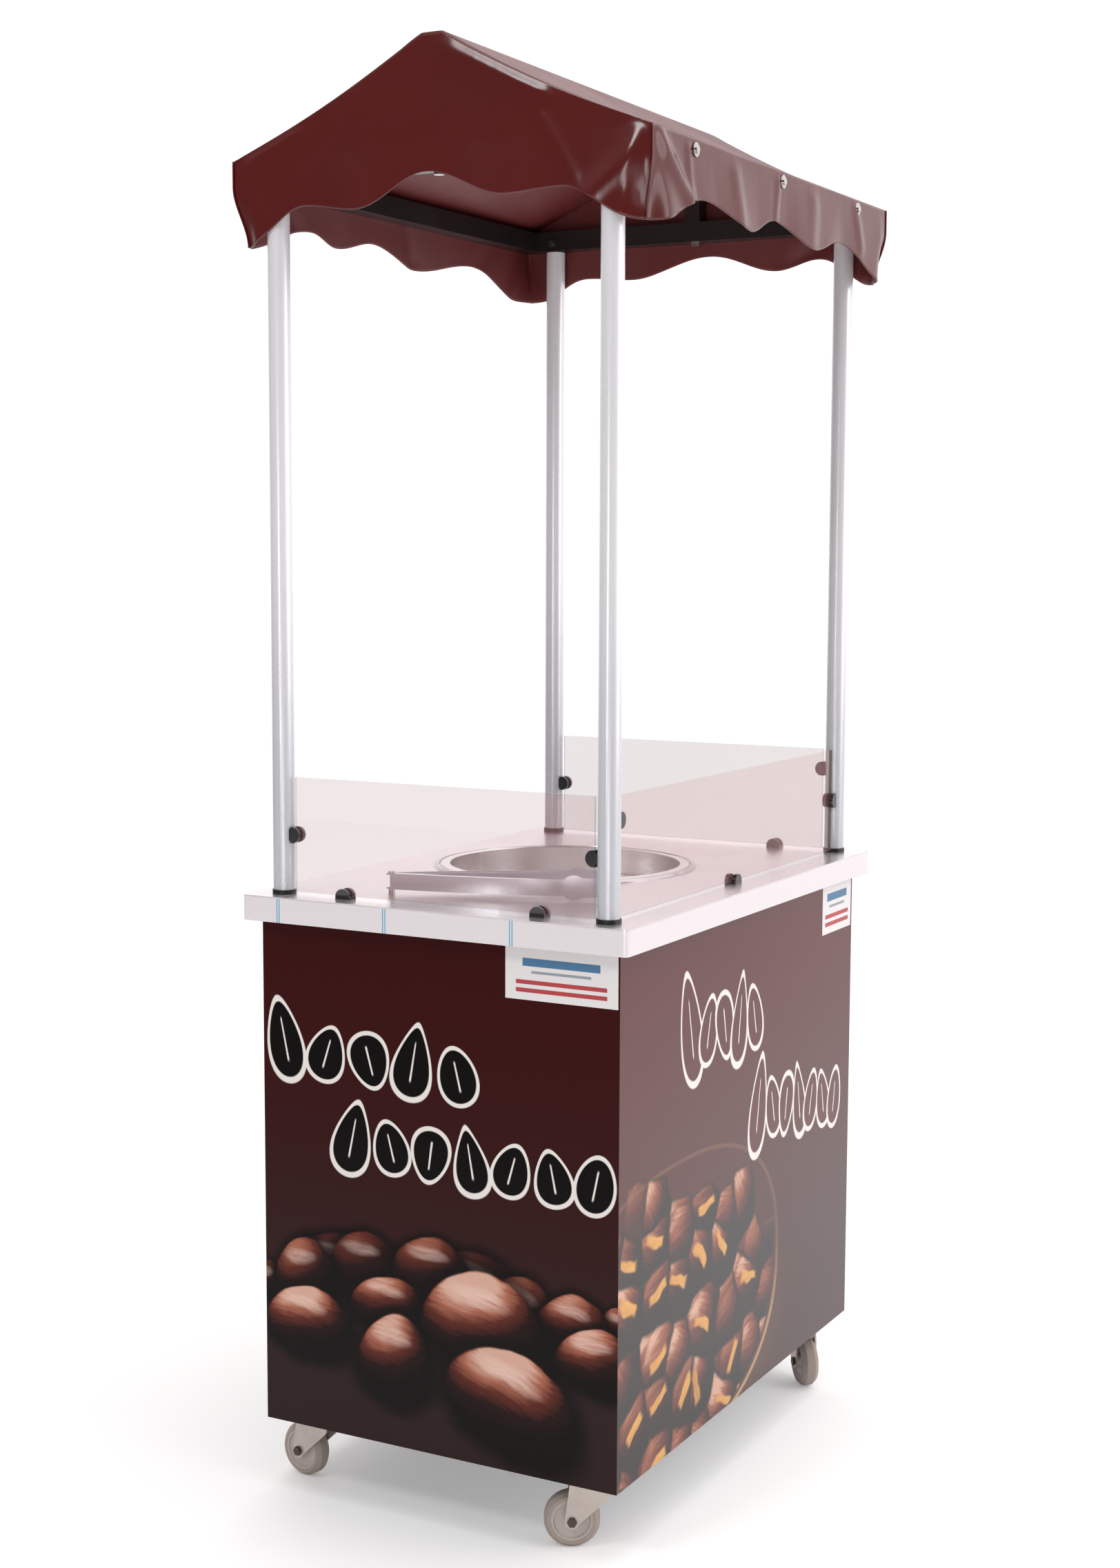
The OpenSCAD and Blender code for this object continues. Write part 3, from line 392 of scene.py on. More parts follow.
def glass_material():
    """Clear sheet glass, faintly warm. Its cut edges are grey, and the side pane's front end is dark green."""
    m, w, s = material("clear_glass", GLASS_TINT, 0.02)
    nx, ny, _ = w.split(w.node("ShaderNodeNewGeometry").outputs["True Normal"])
    x, y, _ = w.split(object_point(w))
    side_pane = w.smooth(w.math("ABSOLUTE", y), PANE_INNER - 0.0025, PANE_INNER - 0.0015, 1.0, 0.0)
    face = w.mix(side_pane, w.math("ABSOLUTE", ny), w.math("ABSOLUTE", nx))
    edge = w.smooth(face, 0.4, 0.6, 1.0, 0.0)
    near = w.math("MULTIPLY", w.smooth(ny, -0.6, -0.4, 1.0, 0.0), w.smooth(x, 0.2, 0.21))
    near = w.math("MULTIPLY", near, edge)
    cut = w.mix(near, rgb(150, 160, 156), rgb(22, 78, 60))
    w.put(s.inputs["Base Color"], w.mix(edge, GLASS_TINT, cut))
    near_alpha = w.math("ADD", w.math("MULTIPLY", near, 0.45), 0.16)
    w.put(s.inputs["Alpha"], w.math("ADD", w.math("MULTIPLY", edge, 0.24), near_alpha))
    return m


# x of each double line on the counter's film, and how far its two lines lie from that
FILM_LINES, FILM_LINE_OFF = (-0.235, -0.065, 0.128), 0.0018


def counter_material():
    """Satin stainless; the folded lip still wears its white film, with thin blue double lines at the front."""
    m, w, s = material("counter_steel", rgb(238, 232, 234), 0.24, 0.9)
    p = object_point(w)
    x, y, z = w.split(p)
    c, r = use(w, WEAR, p, rgb(240, 235, 237), 0.22, 6.0, 0.25)
    n = use(w, BRUSHED, p, (20.0, 500.0, 20.0), 0.15)[0]
    fold = w.smooth(z, COUNTER_HIGH[2] - 0.0025, COUNTER_HIGH[2] - 0.0015, 1.0, 0.0)
    front = w.math("MULTIPLY", fold, w.smooth(y, COUNTER_LOW[1] + 0.0012, COUNTER_LOW[1] + 0.0018, 1.0, 0.0))
    line = 0.0
    for at in FILM_LINES:
        off = w.away(w.away(x, at), FILM_LINE_OFF)
        line = w.math("MAXIMUM", line, w.smooth(off, 0.0006, 0.0011, 1.0, 0.0))
    fading = w.smooth(y, COUNTER_LOW[1] + 0.075, COUNTER_LOW[1] + 0.025, 0.0, 0.5)
    line = w.math("MULTIPLY", line, w.math("MAXIMUM", front, fading))
    film = w.mix(line, rgb(236, 230, 232), rgb(96, 176, 208))
    coated = w.math("MAXIMUM", fold, line)
    w.put(s.inputs["Base Color"], w.mix(coated, c, film))
    w.put(s.inputs["Metallic"], w.math("SUBTRACT", 0.80, w.math("MULTIPLY", coated, 0.7)))
    w.put(s.inputs["Roughness"], r)
    w.put(s.inputs["Normal"], n)
    return m


# ---------------------------------------------------------------- printed panels

# x, z of the centre, radii, turn in degrees and gleam of every printed nut, in paint order
FRONT_NUTS = (
    (-0.150, 0.335, 0.080, 0.050, 0, 0.55), (0.070, 0.338, 0.095, 0.050, -10, 0.55),
    (-0.270, 0.296, 0.023, 0.031, 0, 0.63), (0.133, 0.317, 0.058, 0.053, -20, 0.79),
    (0.277, 0.322, 0.031, 0.028, 0, 0.84), (-0.106, 0.344, 0.066, 0.050, 0, 0.73),
    (-0.001, 0.353, 0.066, 0.048, -8, 0.84), (-0.207, 0.318, 0.052, 0.052, 0, 0.89),
    (0.216, 0.312, 0.058, 0.045, -12, 0.95), (-0.069, 0.295, 0.066, 0.039, -4, 1.00),
    (-0.200, 0.249, 0.075, 0.052, -8, 1.16), (-0.061, 0.220, 0.063, 0.064, -8, 1.05),
    (0.246, 0.270, 0.062, 0.046, -6, 1.05), (0.159, 0.247, 0.023, 0.022, -20, 0.84),
    (0.078, 0.291, 0.099, 0.073, -10, 1.21), (0.121, 0.191, 0.108, 0.073, -22, 1.16),
)
# x, z of the centre, radii, turn in degrees and pinch of every outlined motif, in two rows
FRONT_MOTIFS = (
    (-0.240, 0.645, 0.027, 0.053, 12, 0.30), (-0.171, 0.632, 0.028, 0.036, -18, 0.25),
    (-0.102, 0.630, 0.027, 0.035, 16, -0.2), (-0.033, 0.636, 0.028, 0.048, -10, 0.42),
    (0.036, 0.624, 0.028, 0.036, 14, 0.15), (-0.130, 0.520, 0.028, 0.048, -12, 0.36),
    (-0.068, 0.514, 0.026, 0.034, 15, 0.2), (-0.006, 0.512, 0.025, 0.034, -8, -0.22),
    (0.056, 0.512, 0.024, 0.042, 10, 0.44), (0.118, 0.508, 0.026, 0.033, -16, 0.2),
    (0.180, 0.506, 0.026, 0.034, 12, 0.3), (0.242, 0.505, 0.027, 0.036, -12, 0.12),
)
SIDE_MOTIFS = (
    (-0.190, 0.672, 0.031, 0.074, 12, 0.30), (-0.132, 0.660, 0.026, 0.044, -14, 0.2),
    (-0.078, 0.657, 0.025, 0.044, 12, -0.2), (-0.026, 0.656, 0.025, 0.060, -8, 0.42),
    (0.026, 0.650, 0.025, 0.044, 14, 0.2), (0.044, 0.516, 0.028, 0.068, -10, 0.34),
    (0.098, 0.503, 0.025, 0.042, 14, 0.2), (0.148, 0.496, 0.023, 0.042, -10, -0.2),
    (0.198, 0.491, 0.022, 0.052, 10, 0.42), (0.246, 0.481, 0.024, 0.041, -14, 0.2),
    (0.294, 0.473, 0.024, 0.041, 12, 0.3), (0.342, 0.465, 0.024, 0.042, -10, 0.15),
)
# y, z and radii of the bowl's outline, how square it is, and the radii of a nut in it
HEAP_CENTRE, HEAP_RADII, HEAP_POWER = (-0.220, 0.287), (0.328, 0.203), 2.4
HEAP_NUT_RADII = (0.050, 0.042)


def heap_distance(w, y, z):
    """1 on the outline of the printed bowl and its heap, less inside."""
    total = 0.0
    for value, middle, radius in ((y, HEAP_CENTRE[0], HEAP_RADII[0]), (z, HEAP_CENTRE[1], HEAP_RADII[1])):
        off = w.math("ABSOLUTE", w.math("DIVIDE", w.math("SUBTRACT", value, middle), radius))
        total = w.math("ADD", w.math("POWER", off, HEAP_POWER), total)
    return w.math("POWER", total, 1 / HEAP_POWER)


def heap(w, y, z, back):
    """A bowl heaped with printed chestnuts: each cell of a scattered pattern is one nut, and some are cut."""
    flat = w.join(y, z, 0.0)
    noise = w.node("ShaderNodeTexNoise", Vector=flat, Scale=15.0, Detail=2.0)
    warped = w.nodes.new("ShaderNodeVectorMath")
    warped.operation = "MULTIPLY_ADD"
    for socket, value in zip(warped.inputs, (noise.outputs["Color"], (0.022, 0.022, 0.0), flat)):
        w.put(socket, value)
    cells, edges = w.node("ShaderNodeTexVoronoi"), w.node("ShaderNodeTexVoronoi")
    edges.feature = "DISTANCE_TO_EDGE"
    for n in (cells, edges):
        n.voronoi_dimensions = "2D"
        for key, value in (("Vector", warped.outputs[0]), ("Scale", 13.0), ("Randomness", 0.7)):
            w.put(n.inputs[key], value)
    wy, wz, _ = w.split(warped.outputs[0])
    cy, cz, _ = w.split(cells.outputs["Position"])
    r1, r2, r3 = w.split(cells.outputs["Color"])
    dy = w.math("SUBTRACT", wy, cy)
    dz = w.math("SUBTRACT", wz, cz)
    turn = w.math("SUBTRACT", w.math("MULTIPLY", r1, 2.4), 1.2)
    c = w.math("COSINE", turn)
    s = w.math("SINE", turn)
    a = w.total((dy, c), (dz, s))
    b = w.math("SUBTRACT", w.math("MULTIPLY", dz, c), w.math("MULTIPLY", dy, s))
    along, across = w.math("DIVIDE", a, HEAP_NUT_RADII[0]), w.math("DIVIDE", b, HEAP_NUT_RADII[1])
    round_off = w.total((along, along), (across, across))
    height = w.math("SQRT", w.math("MAXIMUM", w.math("SUBTRACT", 1.0, round_off), 0.0))
    fibres = w.join(w.math("MULTIPLY", a, 25.0), w.math("MULTIPLY", b, 160.0), r2)
    grain = w.node("ShaderNodeTexNoise", Vector=fibres, Scale=1.0, Detail=3.0)
    lit = w.total((height, 0.42), (dz, 13.0), (dy, -7.0), (w.math("SUBTRACT", grain.outputs[0], 0.5), 0.4),
                  (r3, 0.25))
    shell = w.ramp(lit, (0.0, rgb(12, 5, 5)), (0.36, rgb(44, 16, 12)), (0.60, rgb(98, 38, 24)),
                   (0.82, rgb(156, 88, 60)), (1.0, rgb(216, 168, 142)))
    ragged = w.math("MULTIPLY", w.math("SUBTRACT", noise.outputs[0], 0.5), 0.030)
    slit = w.smooth(w.math("ABSOLUTE", w.math("ADD", b, ragged)), 0.0045, 0.0095, 1.0, 0.0)
    cut = w.math("MULTIPLY", slit, w.smooth(w.math("ABSOLUTE", a), 0.020, 0.030, 1.0, 0.0))
    cut = w.math("MULTIPLY", cut, w.smooth(r2, 0.40, 0.48))
    nuts = w.mix(cut, shell, w.mix(grain.outputs[0], rgb(196, 112, 40), rgb(238, 190, 96)))
    nuts = w.mix(w.smooth(edges.outputs["Distance"], 0.0, 0.09, 0.9, 0.0), nuts, rgb(10, 4, 4))
    point, cell = heap_distance(w, y, z), heap_distance(w, cy, cz)
    limit = w.smooth(z, 0.30, 0.42, 1.0, 1.10)
    inside = w.math("MULTIPLY", w.smooth(w.math("SUBTRACT", point, limit), -0.010, 0.002, 1.0, 0.0),
                    w.math("MAXIMUM", w.smooth(cell, 0.93, 0.95, 1.0, 0.0), w.smooth(z, 0.34, 0.30)))
    low = w.smooth(z, 0.32, 0.14)
    rim = w.math("MULTIPLY", w.smooth(w.away(point, 1.035), 0.006, 0.022, 1.0, 0.0), w.math("ADD", 0.2, low))
    back = w.mix(w.math("MULTIPLY", w.smooth(point, 1.0, 1.3, 0.5, 0.0), low), back, rgb(96, 62, 40))
    back = w.mix(w.math("MULTIPLY", rim, 0.8, clamp=True), back, rgb(188, 144, 104))
    return w.mix(inside, back, nuts)


def printed_panel(name, across, nuts, motifs, top, bottom, fill, coat, shine):
    """Gloss film printed with a dark ground, outlined motifs and either single nuts or a heaped bowl."""
    m, w, s = material(name, top, 0.12, 0.0, coat)
    s.inputs["Specular IOR Level"].default_value = shine
    p = object_point(w)
    parts = w.split(p)
    flat = w.join(parts[across], parts[2], 0.0)
    z = parts[2]
    colour = w.mix(w.smooth(z, 0.15, 0.75), bottom, top)
    w.put(s.inputs["Coat Weight"], w.smooth(z, 0.12, 0.60, coat, 0.15 * coat) if across == 0 else coat)
    if nuts is None:
        colour = heap(w, parts[across], z, colour)
    for k, (cx, cz, rx, rz, turn, gleam) in enumerate(nuts or ()):
        colour = use(w, NUT, colour, flat, (cx, cz, 0.0), (rx, rz, 1.0), math.radians(turn), gleam, k * 1.7)[0]
    for cx, cz, rx, rz, turn, pinch in motifs:
        centre, radii = (cx, cz, 0.0), (rx, rz, 1.0)
        colour = use(w, MOTIF, colour, flat, centre, radii, math.radians(turn), pinch, OUTLINE, fill)[0]
    outward = w.math("ABSOLUTE", parts[1 - across])
    outside = w.smooth(outward, PANEL_OUT[across] - 0.0008, PANEL_OUT[across] - 0.0003)
    w.put(s.inputs["Base Color"], w.mix(outside, PANEL_INSIDE, colour))
    ripple = w.node("ShaderNodeTexNoise", Vector=p, Scale=3.0, Detail=1.0)
    w.put(s.inputs["Normal"], w.bump(ripple.outputs[0], 0.06, 0.004))
    return m


TOP, BOTTOM, INK = rgb(60, 14, 14), rgb(46, 28, 28), rgb(10, 6, 6)
FRONT_PRINT = printed_panel("front_print", 0, FRONT_NUTS, FRONT_MOTIFS, TOP, BOTTOM, INK, 0.22, 0.05)
SIDE_PRINT = printed_panel("side_print", 1, None, SIDE_MOTIFS, rgb(88, 22, 20), rgb(60, 26, 24),
                           rgb(88, 24, 22), 0.1, 0.5)
REAR_NUTS = [(-x, z, rx, rz, -turn, gleam) for x, z, rx, rz, turn, gleam in FRONT_NUTS]
REAR_PRINT = printed_panel("rear_print", 0, REAR_NUTS, FRONT_MOTIFS, TOP, BOTTOM, INK, 0.22, 0.05)
MATS["post_aluminium"] = post_material()
MATS["clear_glass"] = glass_material()
MATS["counter_steel"] = counter_material()


def vinyl_material(name, colour, rough, coat):
    """Coated cloth with soft dents and fine upright creases, duller where it faces up."""
    m, w, s = material(name, colour, rough, 0.0, coat)
    p = object_point(w)
    dents = w.node("ShaderNodeTexNoise", Vector=p, Scale=7.0, Detail=2.0, Distortion=0.6)
    upright = w.join(*(w.math("MULTIPLY", v, scale) for v, scale in zip(w.split(p), (26.0, 26.0, 3.0))))
    creases = w.node("ShaderNodeTexNoise", Vector=upright, Scale=1.0, Detail=2.0, Distortion=0.3)
    height = w.math("ADD", dents.outputs[0], w.math("MULTIPLY", creases.outputs[0], 0.35))
    w.put(s.inputs["Normal"], w.bump(height, 0.30, 0.006))
    upward = w.split(w.node("ShaderNodeNewGeometry").outputs["Normal"])[2]
    matt = w.smooth(upward, 0.5, 0.85, 0.0, 0.35)
    c, r = use(w, WEAR, p, colour, rough, 5.0, 0.35)
    w.put(s.inputs["Base Color"], c)
    w.put(s.inputs["Roughness"], w.math("ADD", r, matt))
    return m


VINYL = vinyl_material("canopy_vinyl", rgb(90, 25, 23), 0.17, 0.08)
LINING = vinyl_material("canopy_lining", rgb(108, 42, 42), 0.45, 0.0)
MATS["canopy_vinyl"] = VINYL
MATS["panel_print"] = FRONT_PRINT
OWN_PRINT = {"side_panel": SIDE_PRINT, "rear_panel": REAR_PRINT}

for part in frame["record"]["subparts"]:
    slots = NODES[part["node"]].data.materials
    slots.clear()
    slots.append(OWN_PRINT.get(part["node"], MATS[part["material_slot"]]))

# ---------------------------------------------------------------- new pieces


def grid_faces(rows, cols, start=0):
    """Quads of a rows by cols grid of vertices."""
    i, j = np.meshgrid(np.arange(rows - 1), np.arange(cols - 1), indexing="ij")
    a = start + i * cols + j
    return np.stack([a, a + 1, a + cols + 1, a + cols], -1).reshape(-1, 4)


def piece(name, verts, faces, mats, smooth=True, weld=0.0):
    """A mesh object from arrays of points and faces, riding on the cart."""
    mesh = bpy.data.meshes.new(name)
    mesh.from_pydata([tuple(v) for v in verts], [], [tuple(int(k) for k in f) for f in faces])
    obj = bpy.data.objects.new(name, mesh)
    bpy.context.scene.collection.objects.link(obj)
    for mat in mats:
        mesh.materials.append(mat)
    if weld:
        bm = bmesh.new()
        bm.from_mesh(mesh)
        bmesh.ops.remove_doubles(bm, verts=bm.verts, dist=weld)
        bmesh.ops.recalc_face_normals(bm, faces=bm.faces)
        bm.to_mesh(mesh)
        bm.free()
    if smooth:
        mesh.polygons.foreach_set("use_smooth", [True] * len(mesh.polygons))
    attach(obj, "cart")
    return obj


# Canopy: how far the cloth lies off the rails, and its crest off the top and the side of the ridge bar
OFF_RAILS, OFF_RIDGE_TOP, OFF_RIDGE_SIDE = 0.0015, 0.0032, 0.0025
HALF_X, HALF_Y, EAVE_Z = (v + OFF_RAILS for v in RAIL_HIGH)
APEX_Z, CREST = RIDGE_HIGH[2] + OFF_RIDGE_TOP, RIDGE_HIGH[0] + OFF_RIDGE_SIDE
# drop of the valance at a corner, and how far the corner seams lean in from the top of the posts down
CORNER_DROP, TUCK, TUCK_FROM = 0.112, 0.014, POST_TOP
CLOTH_THICK, WELT_RADIUS, WELT_PROUD = 0.0009, 0.0011, 0.0004
# fraction along a side and drop of the hem below the eave there: low and high points of each edge
HEMS = {
    "front": ((0, 0.112), (0.18, 0.066), (0.31, 0.0755), (0.485, 0.0345),
              (0.68, 0.0705), (0.80, 0.066), (1, 0.112)),
    "rear": ((0, 0.112), (0.17, 0.076), (0.30, 0.081), (0.53, 0.0525),
             (0.72, 0.0805), (0.83, 0.0665), (1, 0.112)),
    "customer": ((0, 0.112), (0.186, 0.0725), (0.359, 0.0935), (0.468, 0.0695),
                 (0.636, 0.0925), (0.771, 0.0705), (1, 0.112)),
    "vendor": ((0, 0.112), (0.224, 0.0705), (0.306, 0.0845), (0.421, 0.0685),
               (0.572, 0.0935), (0.783, 0.0705), (1, 0.112)),
}
# folds that stand out of a face: along and height of both ends, half width and height
FOLDS = {
    "front": ((0.030, 1.940, 0.150, 1.882, 0.018, 0.0030), (0.158, 1.848, 0.214, 1.759, 0.008, 0.0014),
              (0.302, 1.812, 0.228, 1.742, 0.018, 0.0065), (0.048, 1.868, 0.051, 1.800, 0.012, 0.0005),
              (-0.290, 1.822, -0.215, 1.858, 0.016, 0.0028), (-0.10, 1.88, -0.16, 1.78, 0.040, 0.0014)),
    "rear": ((-0.150, 1.880, -0.040, 1.930, 0.018, 0.0030), (0.250, 1.815, 0.170, 1.760, 0.018, 0.0040)),
    "customer": ((-0.388, 1.814, -0.305, 1.750, 0.014, 0.0060), (-0.302, 1.812, -0.296, 1.762, 0.008, 0.0018),
                 (-0.160, 1.80, -0.150, 1.75, 0.016, 0.0022), (-0.014, 1.812, -0.024, 1.765, 0.008, 0.0018),
                 (0.110, 1.80, 0.105, 1.75, 0.020, 0.0025), (0.276, 1.812, 0.300, 1.760, 0.012, 0.0020)),
    "vendor": ((-0.30, 1.80, -0.26, 1.76, 0.018, 0.0030), (0.02, 1.81, 0.05, 1.75, 0.018, 0.0030),
               (0.30, 1.80, 0.24, 1.76, 0.018, 0.0025)),
}


def roof_height(x):
    """Height of the cover at x: flat over the ridge bar, then a slightly sagging slope to the eave."""
    t = np.clip((np.abs(x) - CREST) / (HALF_X - CREST), 0, 1)
    return APEX_Z - (APEX_Z - EAVE_Z) * t - 0.008 * np.sin(np.pi * t) * np.clip(t / 0.1, 0, 1)


def hem(side, s):
    """Drop of the hem below the eave at s, from 0 to 1 along a side, in soft scallops between listed points."""
    at, drop = (np.array(v, float) for v in zip(*HEMS[side]))
    i = np.clip(np.searchsorted(at, s, side="right") - 1, 0, len(at) - 2)
    t = (s - at[i]) / (at[i + 1] - at[i])
    return drop[i] + (drop[i + 1] - drop[i]) * (0.5 - 0.5 * np.cos(np.pi * t))


def folds(side, along, z):
    """Outward swing of the cloth from the folds of one face."""
    out = np.zeros_like(along)
    for a0, z0, a1, z1, width, height in FOLDS[side]:
        length = (a1 - a0) ** 2 + (z1 - z0) ** 2
        t = ((along - a0) * (a1 - a0) + (z - z0) * (z1 - z0)) / length
        near = np.clip(t, 0, 1)
        gap = (along - a0 - near * (a1 - a0)) ** 2 + (z - z0 - near * (z1 - z0)) ** 2
        out = out + height * np.exp(-gap / width**2)
    return out


def ease(t):
    """0 to 1 with a soft start and end, for t cut to 0 to 1."""
    t = np.clip(t, 0, 1)
    return t * t * (3 - 2 * t)


def tuck(z):
    """How far the corner seams lean in below the rails."""
    return TUCK * ease((TUCK_FROM - z) / (TUCK_FROM - EAVE_Z + CORNER_DROP))


def hang(side, s, along, half, z):
    """Outward distance of a hanging face from the middle of the cart, s along it."""
    ends = ease(np.minimum(s, 1 - s) * 2 * half / 0.030)
    depth = np.clip((EAVE_Z - z) / CORNER_DROP, 0, 1)
    slow, quick = 1 + np.cos(2 * np.pi * (3 * s + 0.1)), 1 + np.sin(2 * np.pi * 7.3 * s)
    soft = 0.0028 * depth * slow + 0.0012 * depth * quick
    return (folds(side, along, z) + soft) * ends - tuck(z) * np.exp(-((half - np.abs(along)) / 0.022) ** 2)


def canopy():
    """One cover: two slopes over the ridge, a gable at each end that runs on into its valance, and a valance
    along each side. Neighbouring faces share the points of their corner seam."""
    n_len, n_slope, n_drop = 181, 121, 29
    verts, faces, count = [], [], 0

    def add(x, y, z):
        nonlocal count
        points = np.stack([x, y, z], -1)
        verts.append(points.reshape(-1, 3))
        faces.append(grid_faces(*points.shape[:2], count))
        count += points[..., 0].size

    s_long, s_wide = np.linspace(0, 1, n_len), np.linspace(0, 1, n_slope)
    y_long, x_wide = -HALF_Y + 2 * HALF_Y * s_long, -HALF_X + 2 * HALF_X * s_wide
    yy, xx = np.meshgrid(y_long, x_wide, indexing="ij")
    down_slope = np.clip((np.abs(xx) - CREST) / (HALF_X - CREST), 0, 1)
    open_cloth = np.sin(np.pi * down_slope) * np.sin(np.pi * s_long)[:, None]
    add(xx, yy, roof_height(xx) - 0.003 * open_cloth + 0.001 * np.sin(38 * yy + 9 * xx) * open_cloth)
    depth = np.linspace(0, 1, n_drop)
    for sign, side in ((-1, "vendor"), (1, "customer")):
        ss, dd = np.meshgrid(s_long, depth, indexing="ij")
        y0 = -HALF_Y + 2 * HALF_Y * ss
        z = EAVE_Z - hem(side, ss) * dd
        add(sign * (HALF_X + hang(side, ss, y0, HALF_Y, z)), y0 * (1 - tuck(z) / HALF_Y), z)
    for sign, side in ((-1, "front"), (1, "rear")):
        ss, dd = np.meshgrid(s_wide, depth, indexing="ij")
        x0 = -HALF_X + 2 * HALF_X * ss
        top = roof_height(x0)
        for z in (top + (EAVE_Z - top) * dd, EAVE_Z - hem(side, ss) * dd):
            edge = np.clip((top - z) / 0.012, 0, 1)
            y = sign * (HALF_Y + hang(side, ss, x0, HALF_X, z) * edge)
            add(x0 * (1 - tuck(z) / HALF_X), y, z)
    obj = piece("canopy_cloth", np.concatenate(verts), np.concatenate(faces), [VINYL, LINING],
                weld=0.0004)
    thick = obj.modifiers.new("thickness", "SOLIDIFY")
    thick.thickness = CLOTH_THICK
    thick.offset = -1
    thick.material_offset = 1
    return obj


def welt(name, points, sides=8):
    """A sewn welt: a thin tube along points, with capped ends."""
    points = np.array(points, float)
    way = np.gradient(points, axis=0)
    way /= np.linalg.norm(way, axis=1)[:, None]
    first = np.cross(way, (0.31, 0.95, 0.05))
    first /= np.linalg.norm(first, axis=1)[:, None]
    second = np.cross(way, first)
    turn = np.linspace(0, 2 * np.pi, sides + 1)
    ring = first[:, None] * np.cos(turn)[None, :, None] + second[:, None] * np.sin(turn)[None, :, None]
    tube = points[:, None] + WELT_RADIUS * ring
    verts = np.concatenate([tube.reshape(-1, 3), points[:1], points[-1:]])
    faces = [list(f) for f in grid_faces(len(points), sides + 1)]
    last = (len(points) - 1) * (sides + 1)
    for k in range(sides):
        faces.append([k + 1, k, len(verts) - 2])
        faces.append([last + k, last + k + 1, len(verts) - 1])
    return piece(name, verts, faces, [VINYL], weld=0.00001)


cover = canopy()
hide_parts("canopy_cover")
corner_z = np.linspace(EAVE_Z, EAVE_Z - CORNER_DROP, 24)
for tag, i, j in (("fr", 1, -1), ("fl", -1, -1), ("rr", 1, 1), ("rl", -1, 1)):
    out = WELT_PROUD - tuck(corner_z)
    welt(f"corner_welt_{tag}", np.stack([i * (HALF_X + out), j * (HALF_Y + out), corner_z], -1))


LABEL_WHITE, LABEL_BLUE, LABEL_GREY, LABEL_RED = (rgb(238, 234, 234), rgb(70, 120, 160), rgb(150, 160, 170),
                                                  rgb(186, 60, 66))
# height of each bar's middle, its half width and half height, as shares of the label, and its colour
LABEL_BARS = ((0.20, 0.34, 0.07, LABEL_BLUE), (0.02, 0.26, 0.02, LABEL_GREY),
              (-0.17, 0.40, 0.035, LABEL_RED), (-0.32, 0.40, 0.035, LABEL_RED))
# how far the middle of a label's thickness and its faces lie off the panel and off that middle
LABEL_OUT, LABEL_HALF_THICK = 0.0003, 0.0002


def label(name, centre, across, size):
    """A blank stuck-on label: a white field with one blue, one grey and two red bars, drawn by its material."""
    m, w, s = material(name, LABEL_WHITE, 0.3)
    parts = w.split(object_point(w))
    u = w.math("DIVIDE", w.math("SUBTRACT", parts[across], centre[across]), size[0])
    v = w.math("DIVIDE", w.math("SUBTRACT", parts[2], centre[2]), size[1])
    colour = LABEL_WHITE
    for up, half_wide, half_high, ink in LABEL_BARS:
        wide = w.smooth(w.math("ABSOLUTE", u), half_wide, half_wide + 0.01, 1.0, 0.0)
        high = w.smooth(w.away(v, up), half_high, half_high + 0.01, 1.0, 0.0)
        colour = w.mix(w.math("MULTIPLY", wide, high), colour, ink)
    w.put(s.inputs["Base Color"], colour)
    half = np.array([LABEL_HALF_THICK, LABEL_HALF_THICK, size[1] / 2])
    half[across] = size[0] / 2
    signs = np.array([[i, j, k] for i in (-1, 1) for j in (-1, 1) for k in (-1, 1)])
    faces = [(0, 1, 3, 2), (4, 6, 7, 5), (0, 4, 5, 1), (2, 3, 7, 6), (0, 2, 6, 4), (1, 5, 7, 3)]
    return piece(name, signs * half + np.array(centre), faces, [m], smooth=False)


front_centre = (PANEL_OUT[1] - 0.084, -PANEL_OUT[0] - LABEL_OUT, PANEL_TOP - 0.070)
side_centre = (PANEL_OUT[1] + LABEL_OUT, PANEL_END - 0.0638, PANEL_TOP - 0.075)
label("front_label", front_centre, 0, (0.164, 0.071))
label("side_label", side_centre, 1, (0.118, 0.080))

# ---------------------------------------------------------------- light, floor and camera


def world():
    """White for the camera; for everything else a studio, bright behind the cart and on the customer side."""
    wd = bpy.data.worlds.new("studio")
    bpy.context.scene.world = wd
    wd.use_nodes = True
    w = Tree(wd.node_tree)
    bg = w.nodes["Background"]
    x, y, z = w.split(w.node("ShaderNodeTexCoord").outputs["Generated"])
    side = w.smooth(w.math("ADD", w.math("MULTIPLY", x, 0.25), y), -0.25, 0.45)
    level = w.math("ADD", side, w.math("MULTIPLY", w.smooth(z, 0.2, 0.9), 0.45))
    level = w.math("ADD", level, 0.14)
    ray = w.node("ShaderNodeLightPath").outputs["Is Camera Ray"]
    w.put(bg.inputs[0], w.mix(ray, (1.0, 0.965, 0.97, 1), (1, 1, 1, 1)))
    w.put(bg.inputs[1], w.total((w.math("SUBTRACT", 1.0, ray), level), (ray, 1.05)))


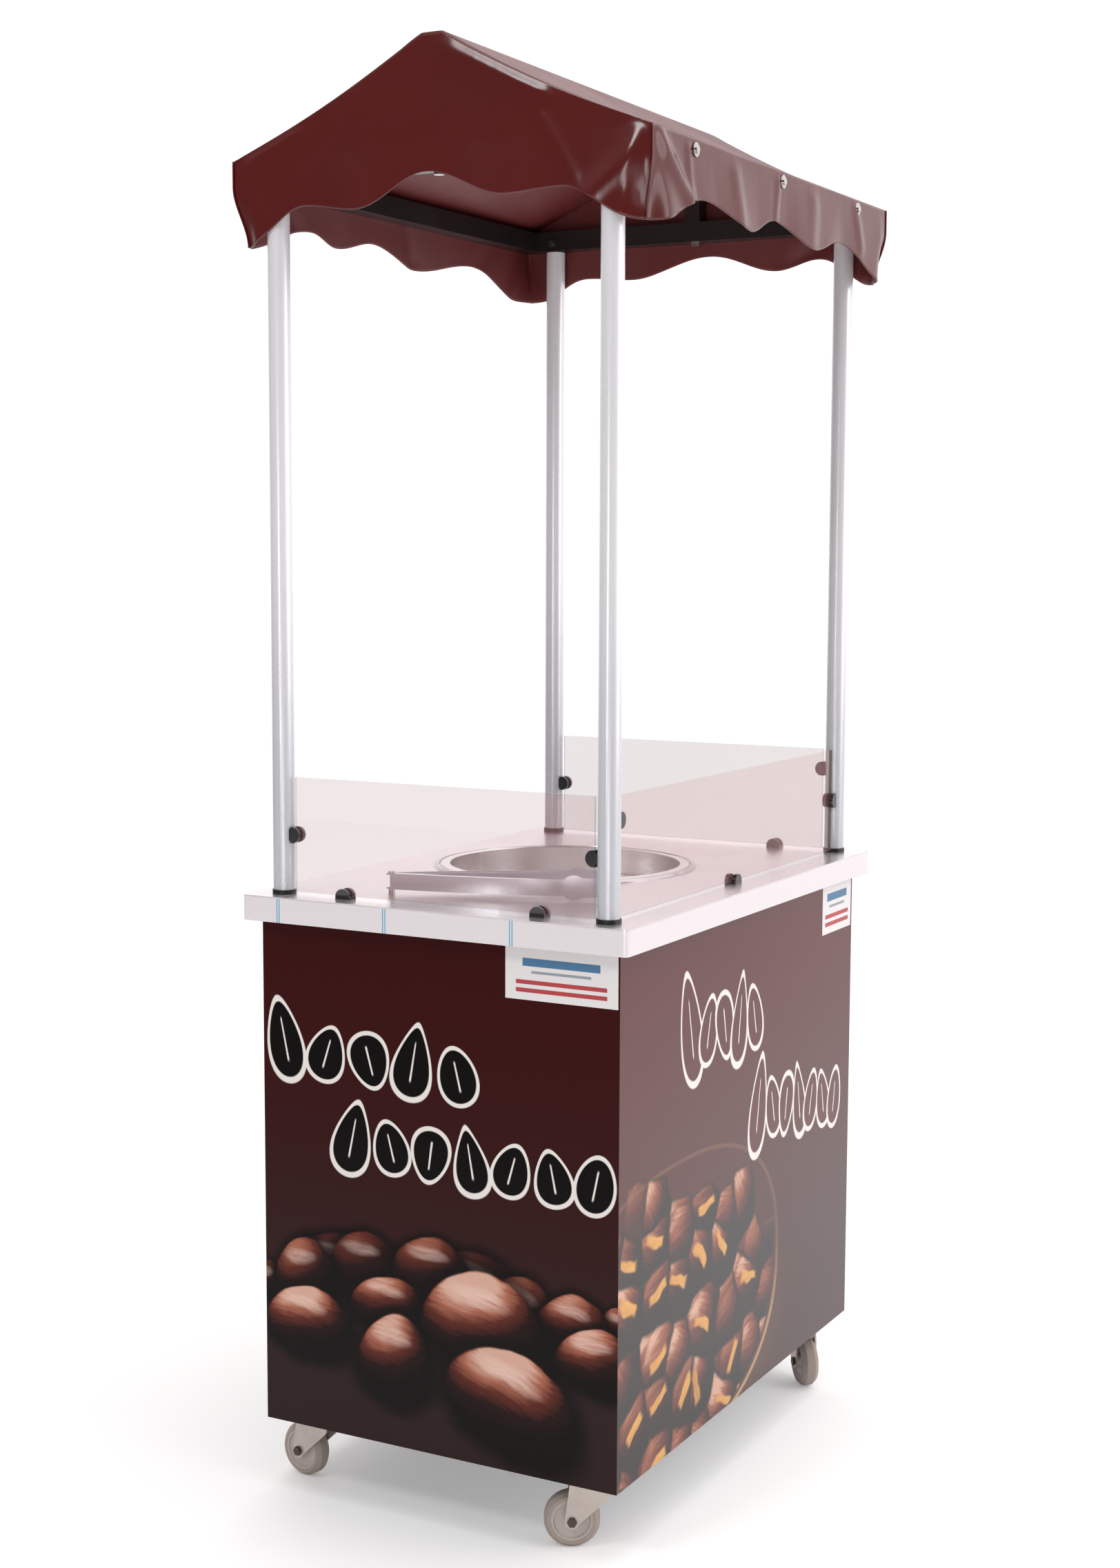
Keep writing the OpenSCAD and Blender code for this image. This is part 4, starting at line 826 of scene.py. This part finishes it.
def softbox(name, at, target, size, watts):
    """A rectangular soft light at a point, turned to its target."""
    data = bpy.data.lights.new(name, "AREA")
    data.shape = "RECTANGLE"
    data.size, data.size_y = size
    data.energy = watts
    obj = bpy.data.objects.new(name, data)
    bpy.context.scene.collection.objects.link(obj)
    way = np.array(target) - np.array(at)
    obj.location = at
    tilt = math.acos(-way[2] / np.linalg.norm(way))
    obj.rotation_euler = (tilt, 0, math.atan2(way[1], way[0]) - math.pi / 2)


world()
softbox("key", (-0.7, -3.0, 3.6), (0, 0, 1.1), (0.9, 0.9), 27)
softbox("low_key", (0.15, -3.4, 1.1), (0.2, -0.4, 1.6), (0.4, 0.8), 7)
softbox("right", (3.0, 0.6, 1.9), (0, 0, 1.0), (1.6, 2.4), 22)
softbox("overhead", (0.3, -0.4, 3.6), (0, 0, 1.0), (2.0, 2.0), 24)
softbox("low_front", (1.2, -3.2, 0.4), (0.1, -0.2, 0.2), (1.2, 0.6), 7)

bpy.ops.mesh.primitive_plane_add(size=12, location=(0, 0, 0))
floor = bpy.context.object
floor.name = "studio_floor"
floor_mat, fw, fs = material("studio_floor", (0.93, 0.93, 0.93, 1), 0.9)
fs.inputs["Emission Color"].default_value = (1, 1, 1, 1)
seen = fw.node("ShaderNodeLightPath").outputs["Is Camera Ray"]
fw.put(fs.inputs["Emission Strength"], fw.math("MULTIPLY", seen, 0.20))
floor.data.materials.append(floor_mat)

cam_data = bpy.data.cameras.new("camera")
camera = bpy.data.objects.new("camera", cam_data)
bpy.context.scene.collection.objects.link(camera)
bpy.context.scene.camera = camera
cam_data.lens = 51.7
cam_data.sensor_width = 36
cam_data.sensor_fit = "AUTO"
camera.location = (1.5328, -2.9046, 1.3236)
TURN, PITCH, ROLL = math.radians(28.28), math.radians(-6.09), 0.0039
turned = Matrix.Rotation(TURN, 3, "Z") @ Matrix.Rotation(math.pi / 2 + PITCH, 3, "X")
camera.rotation_euler = (turned @ Matrix.Rotation(ROLL, 3, "Z")).to_euler()

bpy.context.scene.view_settings.view_transform = "Standard"
bpy.context.scene.view_settings.look = "None"
